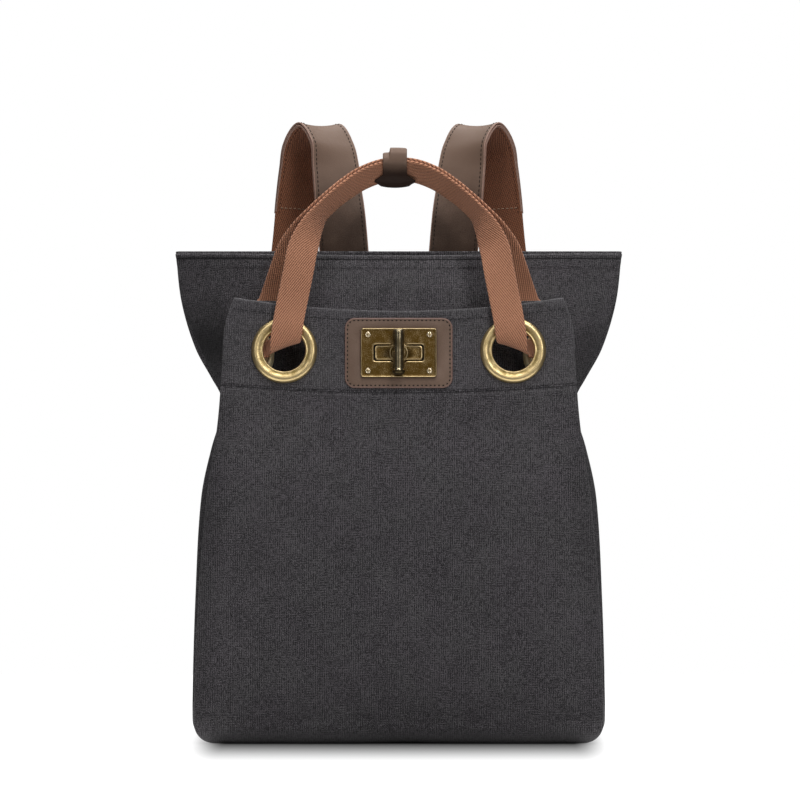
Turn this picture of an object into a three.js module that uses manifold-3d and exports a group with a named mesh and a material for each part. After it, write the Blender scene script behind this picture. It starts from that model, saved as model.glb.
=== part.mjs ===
// A canvas backpack: a bellows pocket sewn to the front of a tall main bag, brass eyelets,
// a webbing carrying handle, a brass turn lock and two leather-faced shoulder straps.
// Millimetres. The bag stands on z = 0, its front looks along -Y and +X is the viewer's right.
import * as THREE from 'three';
import { mergeVertices } from 'three/addons/utils/BufferGeometryUtils.js';
import Module from 'manifold-3d';

const wasm = await Module();
wasm.setup();

// Canvas walls
const CANVAS = 2;                // thickness of a canvas wall
const SEAM = 0.4;                // clearance between two sewn pieces
const EASE = 1.6;                // the same where a wall's edge runs out on a curved wall
const ROLL_GAP = 0.6;            // the same behind a rolled edge and above the base
const FOOT_RADIUS = 14;          // the outer walls curve in under the bag along this radius
const FOOT_ROWS = 0.2;           // share of a wall's rows that lie in that curve
const WALL_ROWS = 15;
const WALL_COLUMNS = { front: 20, back: 12, gusset: 4 };
const COLUMN_SPREAD = 0.25;      // how much closer the columns stand near a wall's edges
const FRONT_TOP = 347;           // top of the front panel at its sides
const FRONT_SAG = 10.5;          // how far its top edge hangs lower in the middle
const EDGE_ROLL = 3;             // the front panel's side edges roll back by this much
const EDGE_ROLL_WIDTH = 14;
const MAIN_TOP = 384;            // rim of the main bag, front wall
const BACK_TOP = 386;            // rim of the main bag, back panel
const BACK_RIM_Y = 45.5;         // depth of that rim
const BACK_SLOPE = 0.0735;       // and how fast the panel falls away below it
const SIDE_TOP = 368;            // where a side gusset runs out between the two rims
const POCKET_SIDE_TOP = 345;     // top of a pocket gusset
const POCKET_SIDE_DROP = 24;     // and how much lower it ends at the main bag

// The turn lock sits on the leaning upper band of the front panel
const LOCK_Z = 304;
const LOCK_Y = -43;
const LEAN = THREE.MathUtils.degToRad(5);
const PATCH = { width: 84, height: 55, thick: 1.8, corner: 8 };
const PLATE = { width: 59, height: 38.3, thick: 2.2, corner: 2 };
const SLOT = { width: 39, height: 13.2, corner: 2, round: 9, sides: 16 };
const SLOT_EASE = 1.4;           // the canvas and the patch are cut this much larger all round
const RIVET = { radius: 2.1, thick: 1.2, x: 24, y: 14.2, sides: 8 };
const TOGGLE = { radius: 4.7, post: 3.3, lift: 0.6, depth: 12, sides: 14 };
const LOCK_BASE = { width: 34, height: 22, corner: 4, thick: 1.6, back: -11.8, recess: 0.4, play: 0.6 };
const LAYER_GAP = 0.3;           // clearance between the stacked pieces of the lock
const CUT_REACH = 6;             // a cutting tool stands this far out of the canvas on both sides
// The toggle bar's turned shape, lower end to upper end: how far it is cut in, and how high
const TOGGLE_PROFILE = [
  { inset: TOGGLE.radius, height: -17.5 },
  { inset: 0.8, height: -17.5 },
  { inset: 0, height: -16.3 },
  { inset: 0.9, height: -8.5 },
  { inset: 0.7, height: 12.5 },
  { inset: 0.3, height: 16 },
  { inset: 1.4, height: 17.5 },
  { inset: TOGGLE.radius, height: 17.5 },
];

// Eyelets: radii of hole, rim and barrel, half the gap that grips the canvas, height of each flange
const EYELET = {
  x: 89.3, z: 306, hole: 17.4, rim: 25.3, barrel: 19, grip: 1.4, front: 4.2, rear: 2.5, sides: 24,
};
const INNER_EYELET = {
  share: 0.4, z: 304, hole: 14.2, rim: 20, barrel: 15.6, grip: 1.8, front: 1.8, rear: 1.8, sides: 16,
};
// Shares of a flange's height that fall away at its edges and shoulders, and widths of its crests
const FLANGE = { frontFall: 0.7, shoulderFall: 0.2, shoulder: 2, rearFall: 0.35, rearFlat: 1.5 };
const HOLE_PLAY = 0.4;           // the canvas hole is this much larger than the barrel

// Straps
const HANDLE = { width: 24, thick: 2.2, lap: 1.4, stepsPerRow: 2 };
const KEEPER = {
  half: 9.5, flare: 0.4, inside: 3.1, width: 12.9, thick: 1.7, corner: 2, innerCorner: 1, bend: 65, tilt: -29,
};
const STRAP = { width: 39.5, leather: 1.8, webbing: 2, gap: 0.3, stepsPerRow: 3, leatherRows: 31 / 3 };

// Depth of the leaning band of the front panel at height z
const panelY = (z) => LOCK_Y + (z - LOCK_Z) * Math.tan(LEAN);
// Depth of the back panel's upper part at height z
const backY = (z) => BACK_RIM_Y + (BACK_TOP - z) * BACK_SLOPE;

// Sections of the walls, bottom to top: half width, depth of the side edges and bulge of the middle
const FRONT_PANEL = [
  { z: 0, half: 158, y: -62, bow: 0 },
  { z: 30, half: 158.5, y: -62.5, bow: 5 },
  { z: 110, half: 155.5, y: -59.5, bow: 9 },
  { z: 188, half: 149.4, y: -54, bow: 8 },
  { z: 240, half: 142, y: panelY(240), bow: 2 },
  { z: 262, half: 139.6, y: panelY(262), bow: 0 },
  { z: 290, half: 137.6, y: panelY(290), bow: 0 },
  { z: 322, half: 136, y: panelY(322), bow: 0 },
  { z: 336, half: 132.5, y: panelY(336), bow: 0 },
  { z: 347, half: 128, y: panelY(347), bow: 0 },
];
const BACK_PANEL = [
  { z: 0, half: 163, y: 62, bow: 0 },
  { z: 30, half: 163.5, y: 63, bow: 2 },
  { z: 110, half: 162, y: 62.5, bow: 3 },
  { z: 190, half: 157.5, y: 60, bow: 3 },
  { z: 230, half: 149.5, y: 57, bow: 2 },
  { z: 260, half: 143, y: 55, bow: 1.5 },
  { z: 284, half: 150, y: 53, bow: 1 },
  { z: 309, half: 163, y: backY(309), bow: 0.5 },
  { z: 346, half: 173.5, y: backY(346), bow: 0 },
  { z: 386, half: 178, y: backY(386), bow: 0 },
];
// The main bag's front wall bends forward in the middle: depth of its edges and of its middle,
// and how sharply it turns back towards the edges
const MAIN_WALL = [
  { z: 0, half: 163, y: -11, middle: -14, power: 8 },
  { z: 30, half: 163.5, y: -10, middle: -15, power: 8 },
  { z: 110, half: 161.5, y: -6, middle: -19, power: 6 },
  { z: 190, half: 157, y: 6, middle: -26, power: 4 },
  { z: 230, half: 148.5, y: 14, middle: -30, power: 3 },
  { z: 260, half: 140.5, y: 21, middle: -32, power: 2.6 },
  { z: 284, half: 149, y: 28, middle: -31, power: 2.2 },
  { z: 309, half: 163, y: 34, middle: -29, power: 2.1 },
  { z: 346, half: 173.5, y: 39, middle: -13, power: 2.1 },
  { z: 384, half: 178, y: 43.1, middle: 5, power: 2.2 },
];
// The pocket's side walls: the inward crease of the bellows and the seam on the main bag
const POCKET_SIDE = [
  { z: 0, creaseX: 159, creaseY: -26, seamX: 161.5 },
  { z: 30, creaseX: 158, creaseY: -26, seamX: 160.5 },
  { z: 110, creaseX: 150, creaseY: -25, seamX: 149 },
  { z: 190, creaseX: 134, creaseY: -20, seamX: 130 },
  { z: 230, creaseX: 118, creaseY: -16, seamX: 111 },
  { z: 270, creaseX: 104, creaseY: -12, seamX: 96 },
  { z: 345, creaseX: 97, creaseY: -9, seamX: 89 },
];
// How far the main bag's sides fold inward at mid depth
const SIDE_FOLD = [
  { z: 0, fold: 0 },
  { z: 80, fold: 0 },
  { z: 200, fold: 12 },
  { z: 265, fold: 18 },
  { z: 320, fold: 8 },
  { z: 346, fold: 0 },
  { z: 386, fold: 0 },
];
// The handle's right half, from the middle of the arch down the front, through the eyelets and
// back up behind: centre, direction across the webbing, and 1 where it lies double
const HANDLE_ROUTE = [
  { x: 0, y: -15.6, z: 447.2, ax: 0, ay: 0.87, az: -0.48, lap: 1 },
  { x: 14, y: -16, z: 445.7, ax: -0.1, ay: 0.87, az: -0.47, lap: 1 },
  { x: 29, y: -17.3, z: 440, ax: -0.21, ay: 0.87, az: -0.44, lap: 1 },
  { x: 40, y: -19, z: 433.5, ax: -0.26, ay: 0.87, az: -0.42, lap: 1 },
  { x: 51, y: -21.5, z: 425.5, ax: -0.3, ay: 0.87, az: -0.38, lap: 1 },
  { x: 61, y: -25, z: 414.5, ax: -0.36, ay: 0.85, az: -0.36, lap: 0 },
  { x: 67.5, y: -29, z: 404, ax: -0.62, ay: 0.68, az: -0.4, lap: 0 },
  { x: 72, y: -33.5, z: 394, ax: -0.85, ay: 0.45, az: -0.3, lap: 0 },
  { x: 75.5, y: -38, z: 384, ax: -0.98, ay: 0.2, az: -0.1, lap: 0 },
  { x: 78, y: -42, z: 370, ax: -1, ay: 0, az: 0, lap: 0 },
  { x: 81.5, y: -45.5, z: 352, ax: -1, ay: 0, az: 0, lap: 0 },
  { x: 84.5, y: -48.4, z: 337, ax: -1, ay: 0, az: 0, lap: 0 },
  { x: 86.5, y: -50.8, z: 325, ax: -1, ay: 0, az: 0, lap: 0 },
  { x: 87.6, y: -50.2, z: 316.5, ax: -1, ay: 0, az: 0.1, lap: 0 },
  { x: 88.4, y: -47.2, z: 310.8, ax: -0.97, ay: 0, az: 0.25, lap: 0 },
  { x: 89.3, y: -42.8, z: 307.5, ax: -0.92, ay: 0, az: 0.4, lap: 0 },
  { x: 90.8, y: -38.3, z: 306.6, ax: -0.85, ay: 0.1, az: 0.5, lap: 0 },
  { x: 96, y: -32.8, z: 306.4, ax: -0.6, ay: 0.3, az: 0.7, lap: 0 },
  { x: 103, y: -29.8, z: 306, ax: -0.35, ay: 0.4, az: 0.85, lap: 0 },
  { x: 110, y: -27.8, z: 305, ax: -0.5, ay: 0.5, az: 0.7, lap: 0 },
  { x: 117, y: -23.4, z: 304.2, ax: -0.65, ay: 0.65, az: 0.35, lap: 0 },
  { x: 122.5, y: -17.3, z: 307, ax: -0.7, ay: 0.7, az: 0.1, lap: 0 },
  { x: 125, y: -12.5, z: 316, ax: -0.66, ay: 0.75, az: 0, lap: 0 },
  { x: 119, y: -8, z: 328, ax: -0.83, ay: 0.3, az: -0.4, lap: 0 },
  { x: 107, y: -5.7, z: 340, ax: -0.87, ay: -0.05, az: -0.49, lap: 0 },
  { x: 97, y: -6, z: 351, ax: -0.9, ay: -0.05, az: -0.43, lap: 0 },
  { x: 88, y: -9.5, z: 372, ax: -0.9, ay: 0.25, az: -0.4, lap: 0 },
  { x: 81.5, y: -15, z: 388, ax: -0.9, ay: 0.4, az: -0.2, lap: 0 },
  { x: 74.5, y: -20, z: 402, ax: -0.7, ay: 0.6, az: -0.35, lap: 0 },
  { x: 66.5, y: -21.5, z: 412.5, ax: -0.45, ay: 0.8, az: -0.36, lap: 0 },
  { x: 51, y: -21.5, z: 425.5, ax: -0.3, ay: 0.87, az: -0.38, lap: 1 },
  { x: 40, y: -19, z: 433.5, ax: -0.26, ay: 0.87, az: -0.42, lap: 1 },
  { x: 29, y: -17.3, z: 440, ax: -0.21, ay: 0.87, az: -0.44, lap: 1 },
  { x: 14, y: -16, z: 445.7, ax: -0.1, ay: 0.87, az: -0.47, lap: 1 },
  { x: 0, y: -15.6, z: 447.2, ax: 0, ay: 0.87, az: -0.48, lap: 1 },
];
// The right shoulder strap, from its upper seam over the arch to its lower seam: the meeting
// line of leather and webbing, and the direction across the strap
const STRAP_ROUTE = [
  { x: 42, y: 53.6, z: 322, ax: 1, ay: 0 },
  { x: 43, y: 49.9, z: 372, ax: 1, ay: 0 },
  { x: 44, y: 49, z: 388, ax: 1, ay: 0 },
  { x: 46.5, y: 50, z: 415, ax: 1, ay: -0.08 },
  { x: 49, y: 53, z: 436, ax: 0.94, ay: -0.28 },
  { x: 52.7, y: 57, z: 455, ax: 0.85, ay: -0.5 },
  { x: 56, y: 63, z: 473, ax: 0.78, ay: -0.62 },
  { x: 66.7, y: 76, z: 487, ax: 0.77, ay: -0.63 },
  { x: 76, y: 89, z: 474, ax: 0.77, ay: -0.63 },
  { x: 81, y: 96, z: 455, ax: 0.77, ay: -0.63 },
  { x: 84, y: 100, z: 430, ax: 0.8, ay: -0.58 },
  { x: 86.5, y: 103, z: 392, ax: 0.85, ay: -0.5 },
  { x: 92, y: 106, z: 340, ax: 0.9, ay: -0.4 },
  { x: 100, y: 107, z: 280, ax: 0.95, ay: -0.3 },
  { x: 110, y: 104, z: 210, ax: 0.98, ay: -0.2 },
  { x: 121, y: 96, z: 140, ax: 1, ay: -0.1 },
  { x: 131, y: 84, z: 80, ax: 1, ay: 0 },
  { x: 136.5, y: 73, z: 48, ax: 1, ay: 0 },
  { x: 138.5, y: 67.2, z: 30, ax: 1, ay: 0 },
  { x: 139, y: 67.1, z: 17, ax: 1, ay: 0 },
];

const canvas = new THREE.MeshStandardMaterial({ color: 0x3e3c40, roughness: 0.95 });
const webbing = new THREE.MeshStandardMaterial({ color: 0xa56e55, roughness: 0.85 });
const leather = new THREE.MeshStandardMaterial({ color: 0x6e5a50, roughness: 0.55 });
const paleBrass = new THREE.MeshStandardMaterial({ color: 0xb09050, roughness: 0.35, metalness: 1 });
const darkBrass = new THREE.MeshStandardMaterial({ color: 0x6a5028, roughness: 0.45, metalness: 1 });

const backpack = new THREE.Group();

function piece(parent, name, geometry, material) {
  const mesh = new THREE.Mesh(geometry, material);
  mesh.name = name;
  parent.add(mesh);
  return mesh;
}

// A closed mesh as a solid for cutting and joining
function solid(geometry) {
  const bare = geometry.clone();
  bare.deleteAttribute('normal');
  bare.deleteAttribute('uv');
  const merged = mergeVertices(bare, 1e-3);
  return new wasm.Manifold(new wasm.Mesh({
    numProp: 3,
    vertProperties: new Float32Array(merged.attributes.position.array),
    triVerts: new Uint32Array(merged.index.array),
  }));
}

function geometryOf(body) {
  const mesh = body.getMesh();
  const geometry = new THREE.BufferGeometry();
  geometry.setAttribute('position', new THREE.BufferAttribute(mesh.vertProperties, 3));
  geometry.setIndex(new THREE.BufferAttribute(mesh.triVerts, 1));
  return geometry;
}

// The columns of a table at height z, on a smooth curve through its rows
function sectionAt(table, z) {
  const last = table.length - 1;
  let row = 0;
  while (row < last - 1 && z > table[row + 1].z) {
    row += 1;
  }
  const low = table[row];
  const high = table[row + 1];
  const span = high.z - low.z;
  const t = THREE.MathUtils.clamp((z - low.z) / span, 0, 1);
  const slope = (index, column) => {
    const before = table[Math.max(index - 1, 0)];
    const after = table[Math.min(index + 1, last)];
    return (after[column] - before[column]) / (after.z - before.z);
  };
  const section = {};
  for (const column of Object.keys(low)) {
    section[column] = (1 + 2 * t) * (1 - t) ** 2 * low[column]
      + t * (1 - t) ** 2 * span * slope(row, column)
      + t * t * (3 - 2 * t) * high[column]
      - t * t * (1 - t) * span * slope(row + 1, column);
  }
  return section;
}

// Height on an outer wall, and how far the wall has curved in under the bag there
function climb(share, top) {
  const low = CANVAS / 2;
  if (share < FOOT_ROWS) {
    const angle = (share / FOOT_ROWS) * Math.PI / 2;
    return { z: low + FOOT_RADIUS * (1 - Math.cos(angle)), tuck: FOOT_RADIUS * (1 - Math.sin(angle)) };
  }
  const rise = (share - FOOT_ROWS) / (1 - FOOT_ROWS);
  return { z: THREE.MathUtils.lerp(low + FOOT_RADIUS, top, rise), tuck: 0 };
}

// Share of the half width for a column, with closer columns near the edges
const spread = (u) => {
  const s = 2 * u - 1;
  return s + COLUMN_SPREAD * (s - s ** 3);
};

function frontPanel(u, v) {
  const s = spread(u);
  const { z, tuck } = climb(v, FRONT_TOP);
  const sagged = z - FRONT_SAG * v ** 3 * (1 - s * s);
  const half = sectionAt(FRONT_PANEL, z).half - tuck;
  const { y, bow } = sectionAt(FRONT_PANEL, sagged);
  const intoRoll = Math.max(0, 1 - (1 - Math.abs(s)) * half / EDGE_ROLL_WIDTH);
  const roll = EDGE_ROLL * intoRoll ** 2 * (1 - tuck / FOOT_RADIUS);
  return new THREE.Vector3(s * half, y + tuck + roll - bow * (1 - s * s), sagged);
}

function backPanel(u, v) {
  const s = spread(u);
  const { z, tuck } = climb(v, BACK_TOP);
  const { half, y, bow } = sectionAt(BACK_PANEL, z);
  return new THREE.Vector3(s * (half - tuck), y - tuck + bow * (1 - s * s), z);
}

// Depth of the main bag's front wall at a place across and up
function mainWallY(x, z) {
  const { half, y, middle, power } = sectionAt(MAIN_WALL, z);
  return middle + (y - middle) * Math.min(1, Math.abs(x) / half) ** power;
}

function mainWall(u, v) {
  const z = THREE.MathUtils.lerp(CANVAS + ROLL_GAP, MAIN_TOP, v);
  const depth = Math.max(0, 1 - (z - CANVAS / 2) / FOOT_RADIUS);
  const tuck = FOOT_RADIUS * (1 - Math.sqrt(1 - depth * depth));
  const { half } = sectionAt(MAIN_WALL, z);
  const x = spread(u) * (half - tuck);
  return new THREE.Vector3(x, mainWallY(x, z), z);
}

// The right pocket gusset runs from the front panel's edge to its crease, then to the main bag
const CREASE = 0.75;
function pocketSide(u, v) {
  const drop = POCKET_SIDE_DROP * Math.max(0, (u - CREASE) / (1 - CREASE));
  const { z, tuck } = climb(v, POCKET_SIDE_TOP - drop);
  const front = sectionAt(FRONT_PANEL, z);
  const side = sectionAt(POCKET_SIDE, z);
  const edgeX = front.half - CANVAS / 2 - tuck;
  const edgeY = front.y + EDGE_ROLL * (1 - tuck / FOOT_RADIUS) + tuck + CANVAS / 2 + ROLL_GAP;
  const creaseX = side.creaseX - tuck;
  if (u <= CREASE) {
    const t = u / CREASE;
    return new THREE.Vector3(
      THREE.MathUtils.lerp(edgeX, creaseX, t),
      THREE.MathUtils.lerp(edgeY, side.creaseY, t),
      z,
    );
  }
  const t = (u - CREASE) / (1 - CREASE);
  const wallY = mainWallY(side.seamX, z);
  const skew = (creaseX - side.seamX) / Math.hypot(creaseX - side.seamX, side.creaseY - wallY);
  const seamY = wallY - CANVAS / 2 * (1 + Math.abs(skew)) - EASE;
  return new THREE.Vector3(
    THREE.MathUtils.lerp(creaseX, side.seamX - tuck, t),
    THREE.MathUtils.lerp(side.creaseY, seamY, t),
    z,
  );
}

// The right side gusset of the main bag
function mainSide(u, v) {
  const { z, tuck } = climb(v, SIDE_TOP);
  const front = sectionAt(MAIN_WALL, z);
  const back = sectionAt(BACK_PANEL, z);
  const { fold } = sectionAt(SIDE_FOLD, z);
  const inward = fold * (1 - (2 * u - 1) ** 2);
  return new THREE.Vector3(
    THREE.MathUtils.lerp(front.half, back.half, u) - CANVAS / 2 - tuck - inward,
    THREE.MathUtils.lerp(front.y + CANVAS / 2 + EASE, back.y - tuck - CANVAS / 2 - EASE, u),
    z,
  );
}

// Direction out of a surface at a place on it
function outward(surface, u, v) {
  const reach = 1e-3;
  const across = surface(Math.min(1, u + reach), v).sub(surface(Math.max(0, u - reach), v));
  const up = surface(u, Math.min(1, v + reach)).sub(surface(u, Math.max(0, v - reach)));
  return across.cross(up).normalize();
}

// A sheet of even thickness on both sides of a surface, closed along its four edges
function wall(surface, across, up) {
  const position = [];
  const index = [];
  for (const side of [1, -1]) {
    for (let j = 0; j <= up; j += 1) {
      for (let i = 0; i <= across; i += 1) {
        const u = i / across;
        const v = j / up;
        const point = surface(u, v).addScaledVector(outward(surface, u, v), side * CANVAS / 2);
        position.push(point.x, point.y, point.z);
      }
    }
  }
  const front = (i, j) => j * (across + 1) + i;
  const back = (i, j) => front(i, j) + (across + 1) * (up + 1);
  const quad = (a, b, c, d) => index.push(a, b, c, a, c, d);
  for (let j = 0; j < up; j += 1) {
    for (let i = 0; i < across; i += 1) {
      quad(front(i, j), front(i + 1, j), front(i + 1, j + 1), front(i, j + 1));
      quad(back(i, j), back(i, j + 1), back(i + 1, j + 1), back(i + 1, j));
    }
    quad(front(0, j), front(0, j + 1), back(0, j + 1), back(0, j));
    quad(front(across, j), back(across, j), back(across, j + 1), front(across, j + 1));
  }
  for (let i = 0; i < across; i += 1) {
    quad(front(i, 0), back(i, 0), back(i + 1, 0), front(i + 1, 0));
    quad(front(i, up), front(i + 1, up), back(i + 1, up), back(i, up));
  }
  const geometry = new THREE.BufferGeometry();
  geometry.setAttribute('position', new THREE.Float32BufferAttribute(position, 3));
  geometry.setIndex(index);
  return geometry;
}

// A flat strip swept along frames of a centre, a direction across it and one through it
function ribbon(frames, width, thick, closed) {
  const position = [];
  const index = [];
  for (const { centre, across, through } of frames) {
    for (const [w, t] of [[-1, -1], [1, -1], [1, 1], [-1, 1]]) {
      const corner = centre.clone().addScaledVector(across, w * width / 2);
      corner.addScaledVector(through, t * thick / 2);
      position.push(corner.x, corner.y, corner.z);
    }
  }
  const count = frames.length;
  const spans = closed ? count : count - 1;
  for (let k = 0; k < spans; k += 1) {
    const here = 4 * k;
    const next = 4 * ((k + 1) % count);
    // The two broad faces share the same diagonals, so that twisted layers stay parallel
    index.push(here, here + 1, next, here + 1, next + 1, next);
    for (let c = 1; c < 4; c += 1) {
      const d = (c + 1) % 4;
      index.push(here + c, here + d, next + d, here + c, next + d, next + c);
    }
  }
  if (!closed) {
    const end = 4 * (count - 1);
    index.push(2, 1, 0, 3, 2, 0, end, end + 1, end + 2, end, end + 2, end + 3);
  }
  const geometry = new THREE.BufferGeometry();
  geometry.setAttribute('position', new THREE.Float32BufferAttribute(position, 3));
  geometry.setIndex(index);
  return geometry;
}

// Frames along a route, some for each row, from one row number to another
function framesAlong(route, closed, perRow, from, to, shiftAt) {
  const curve = new THREE.CatmullRomCurve3(route.map((r) => new THREE.Vector3(r.x, r.y, r.z)), closed);
  const spans = closed ? route.length : route.length - 1;
  const steps = Math.round((to - from) * perRow);
  const frames = [];
  for (let k = 0; k < (closed ? steps : steps + 1); k += 1) {
    const row = from + (to - from) * k / steps;
    const low = Math.min(Math.floor(row), route.length - 1);
    const high = (low + 1) % route.length;
    const t = row - low;
    const mix = (column) => (1 - t) * (route[low][column] ?? 0) + t * (route[high][column] ?? 0);
    const along = curve.getTangent(row / spans);
    const hint = new THREE.Vector3(mix('ax'), mix('ay'), mix('az'));
    const through = along.clone().cross(hint).normalize();
    const across = through.clone().cross(along).normalize();
    const centre = curve.getPoint(row / spans).addScaledVector(through, shiftAt(mix));
    frames.push({ centre, across, through });
  }
  return frames;
}

// Outline of a rectangle with round corners
function roundedRectangle(width, height, radius, Kind = THREE.Shape) {
  const x = width / 2;
  const y = height / 2;
  const outline = new Kind();
  outline.moveTo(-x + radius, -y);
  outline.lineTo(x - radius, -y);
  outline.absarc(x - radius, -y + radius, radius, -Math.PI / 2, 0);
  outline.lineTo(x, y - radius);
  outline.absarc(x - radius, y - radius, radius, 0, Math.PI / 2);
  outline.lineTo(-x + radius, y);
  outline.absarc(-x + radius, y - radius, radius, Math.PI / 2, Math.PI);
  outline.lineTo(-x, -y + radius);
  outline.absarc(-x + radius, -y + radius, radius, Math.PI, Math.PI * 1.5);
  return outline;
}

function slab(outline, from, to, curveSegments = 3, steps = 1) {
  const settings = { depth: to - from, bevelEnabled: false, curveSegments, steps };
  return new THREE.ExtrudeGeometry(outline, settings).translate(0, 0, from);
}

// A rod along local Z
function rod(radius, from, to, segments) {
  const geometry = new THREE.CylinderGeometry(radius, radius, to - from, segments);
  return geometry.rotateX(Math.PI / 2).translate(0, 0, (from + to) / 2);
}

// The lock's slot: a bar shape with a round middle, grown by a margin
function slotSolid(margin, from, to) {
  const width = SLOT.width + 2 * margin;
  const height = SLOT.height + 2 * margin;
  return solid(slab(roundedRectangle(width, height, SLOT.corner), from, to))
    .add(solid(rod(SLOT.round + margin, from, to, SLOT.sides)));
}

// A two-flange eyelet around local Z, gripping canvas at z = 0
function eyelet(size) {
  const crest = size.grip + size.front;
  const frontEdge = crest - FLANGE.frontFall * size.front;
  const shoulder = crest - FLANGE.shoulderFall * size.front;
  const foot = -size.grip - size.rear;
  const rearEdge = foot + FLANGE.rearFall * size.rear;
  const middle = (size.hole + size.rim) / 2;
  const profile = [
    { radius: size.hole, height: rearEdge },
    { radius: middle - FLANGE.rearFlat, height: foot },
    { radius: middle + FLANGE.rearFlat, height: foot },
    { radius: size.rim, height: rearEdge },
    { radius: size.rim, height: -size.grip },
    { radius: size.barrel, height: -size.grip },
    { radius: size.barrel, height: size.grip },
    { radius: size.rim, height: size.grip },
    { radius: size.rim, height: frontEdge },
    { radius: middle + FLANGE.shoulder, height: shoulder },
    { radius: middle, height: crest },
    { radius: middle - FLANGE.shoulder, height: shoulder },
    { radius: size.hole, height: frontEdge },
    { radius: size.hole, height: rearEdge },
  ].map(({ radius, height }) => new THREE.Vector2(radius, height));
  return new THREE.LatheGeometry(profile, size.sides).rotateX(Math.PI / 2);
}

// Local frame on the leaning band: x across, y up the band, z out of it
function onBand(x, z) {
  const frame = new THREE.Group();
  frame.position.set(x, panelY(z), z);
  frame.rotation.x = Math.PI / 2 - LEAN;
  frame.updateMatrixWorld();
  return frame;
}

function inFrame(geometry, frame) {
  return geometry.clone().applyMatrix4(frame.matrixWorld);
}

// Base, in the flat middle of the underside
const inset = FOOT_RADIUS + SEAM;
const sideInset = inset + CANVAS / 2;
const rightEdge = [
  [FRONT_PANEL[0].half - sideInset, FRONT_PANEL[0].y + inset],
  [POCKET_SIDE[0].creaseX - inset, POCKET_SIDE[0].creaseY],
  [MAIN_WALL[0].half - sideInset, MAIN_WALL[0].y],
  [BACK_PANEL[0].half - sideInset, BACK_PANEL[0].y - inset],
];
const leftEdge = rightEdge.map(([x, y]) => [-x, y]).reverse();
const floorCorners = [...rightEdge, ...leftEdge].map(([x, y]) => new THREE.Vector2(x, y));
piece(backpack, 'base_panel', slab(new THREE.Shape(floorCorners), 0, CANVAS), canvas);

// Front panel, cut out for the eyelets and the lock
const lockFrame = onBand(0, LOCK_Z);
const lockCut = inFrame(geometryOf(slotSolid(SLOT_EASE, -CUT_REACH, CUT_REACH)), lockFrame);
let frontBody = solid(wall(frontPanel, WALL_COLUMNS.front, WALL_ROWS)).subtract(solid(lockCut));
for (const side of [1, -1]) {
  const cutter = rod(EYELET.barrel + HOLE_PLAY, -CUT_REACH, CUT_REACH, EYELET.sides);
  frontBody = frontBody.subtract(solid(inFrame(cutter, onBand(side * EYELET.x, EYELET.z))));
}
piece(backpack, 'front_panel', geometryOf(frontBody), canvas);

piece(backpack, 'main_front_wall', wall(mainWall, WALL_COLUMNS.front, WALL_ROWS), canvas);
piece(backpack, 'back_panel', wall(backPanel, WALL_COLUMNS.back, WALL_ROWS), canvas);

// Turn lock: patch, slotted plate, rivets, base with its boss, and the turning toggle
backpack.add(lockFrame);
const patchBack = CANVAS / 2 + LAYER_GAP;
const patchFront = patchBack + PATCH.thick;
const plateBack = patchFront + LAYER_GAP;
const plateFront = plateBack + PLATE.thick;
const patchOutline = roundedRectangle(PATCH.width, PATCH.height, PATCH.corner);
const patchBody = solid(slab(patchOutline, patchBack, patchFront))
  .subtract(slotSolid(SLOT_EASE, -CUT_REACH, patchFront + CUT_REACH));
piece(lockFrame, 'lock_patch', geometryOf(patchBody), leather);
const plateOutline = roundedRectangle(PLATE.width, PLATE.height, PLATE.corner);
const plateBody = solid(slab(plateOutline, plateBack, plateFront))
  .subtract(slotSolid(0, -CUT_REACH, plateFront + CUT_REACH));
piece(lockFrame, 'lock_plate', geometryOf(plateBody), darkBrass);
for (const [name, x, y] of [
  ['upper_left', -1, 1], ['upper_right', 1, 1], ['lower_left', -1, -1], ['lower_right', 1, -1],
]) {
  const seat = plateFront + LAYER_GAP;
  const head = rod(RIVET.radius, seat, seat + RIVET.thick, RIVET.sides);
  const rivet = piece(lockFrame, `lock_rivet_${name}`, head, paleBrass);
  rivet.position.set(x * RIVET.x, y * RIVET.y, 0);
}
const bossFront = plateFront - LOCK_BASE.recess;
const postEnd = bossFront - TOGGLE.depth;
const baseOutline = roundedRectangle(LOCK_BASE.width, LOCK_BASE.height, LOCK_BASE.corner);
const postHole = rod(TOGGLE.post + LAYER_GAP, postEnd - LAYER_GAP, bossFront + CUT_REACH, SLOT.sides);
const baseBody = solid(slab(baseOutline, LOCK_BASE.back, LOCK_BASE.back + LOCK_BASE.thick))
  .add(slotSolid(-LOCK_BASE.play, LOCK_BASE.back + LOCK_BASE.thick / 2, bossFront))
  .subtract(solid(postHole));
piece(lockFrame, 'lock_base', geometryOf(baseBody), darkBrass);
const barAxis = plateFront + TOGGLE.lift + TOGGLE.radius;
const barProfile = TOGGLE_PROFILE.map((p) => new THREE.Vector2(TOGGLE.radius - p.inset, p.height));
const bar = new THREE.LatheGeometry(barProfile, TOGGLE.sides).translate(0, 0, barAxis);
const toggleBody = solid(bar).add(solid(rod(TOGGLE.post, postEnd, barAxis, TOGGLE.sides)));
piece(lockFrame, 'lock_toggle', geometryOf(toggleBody), darkBrass);

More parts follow.
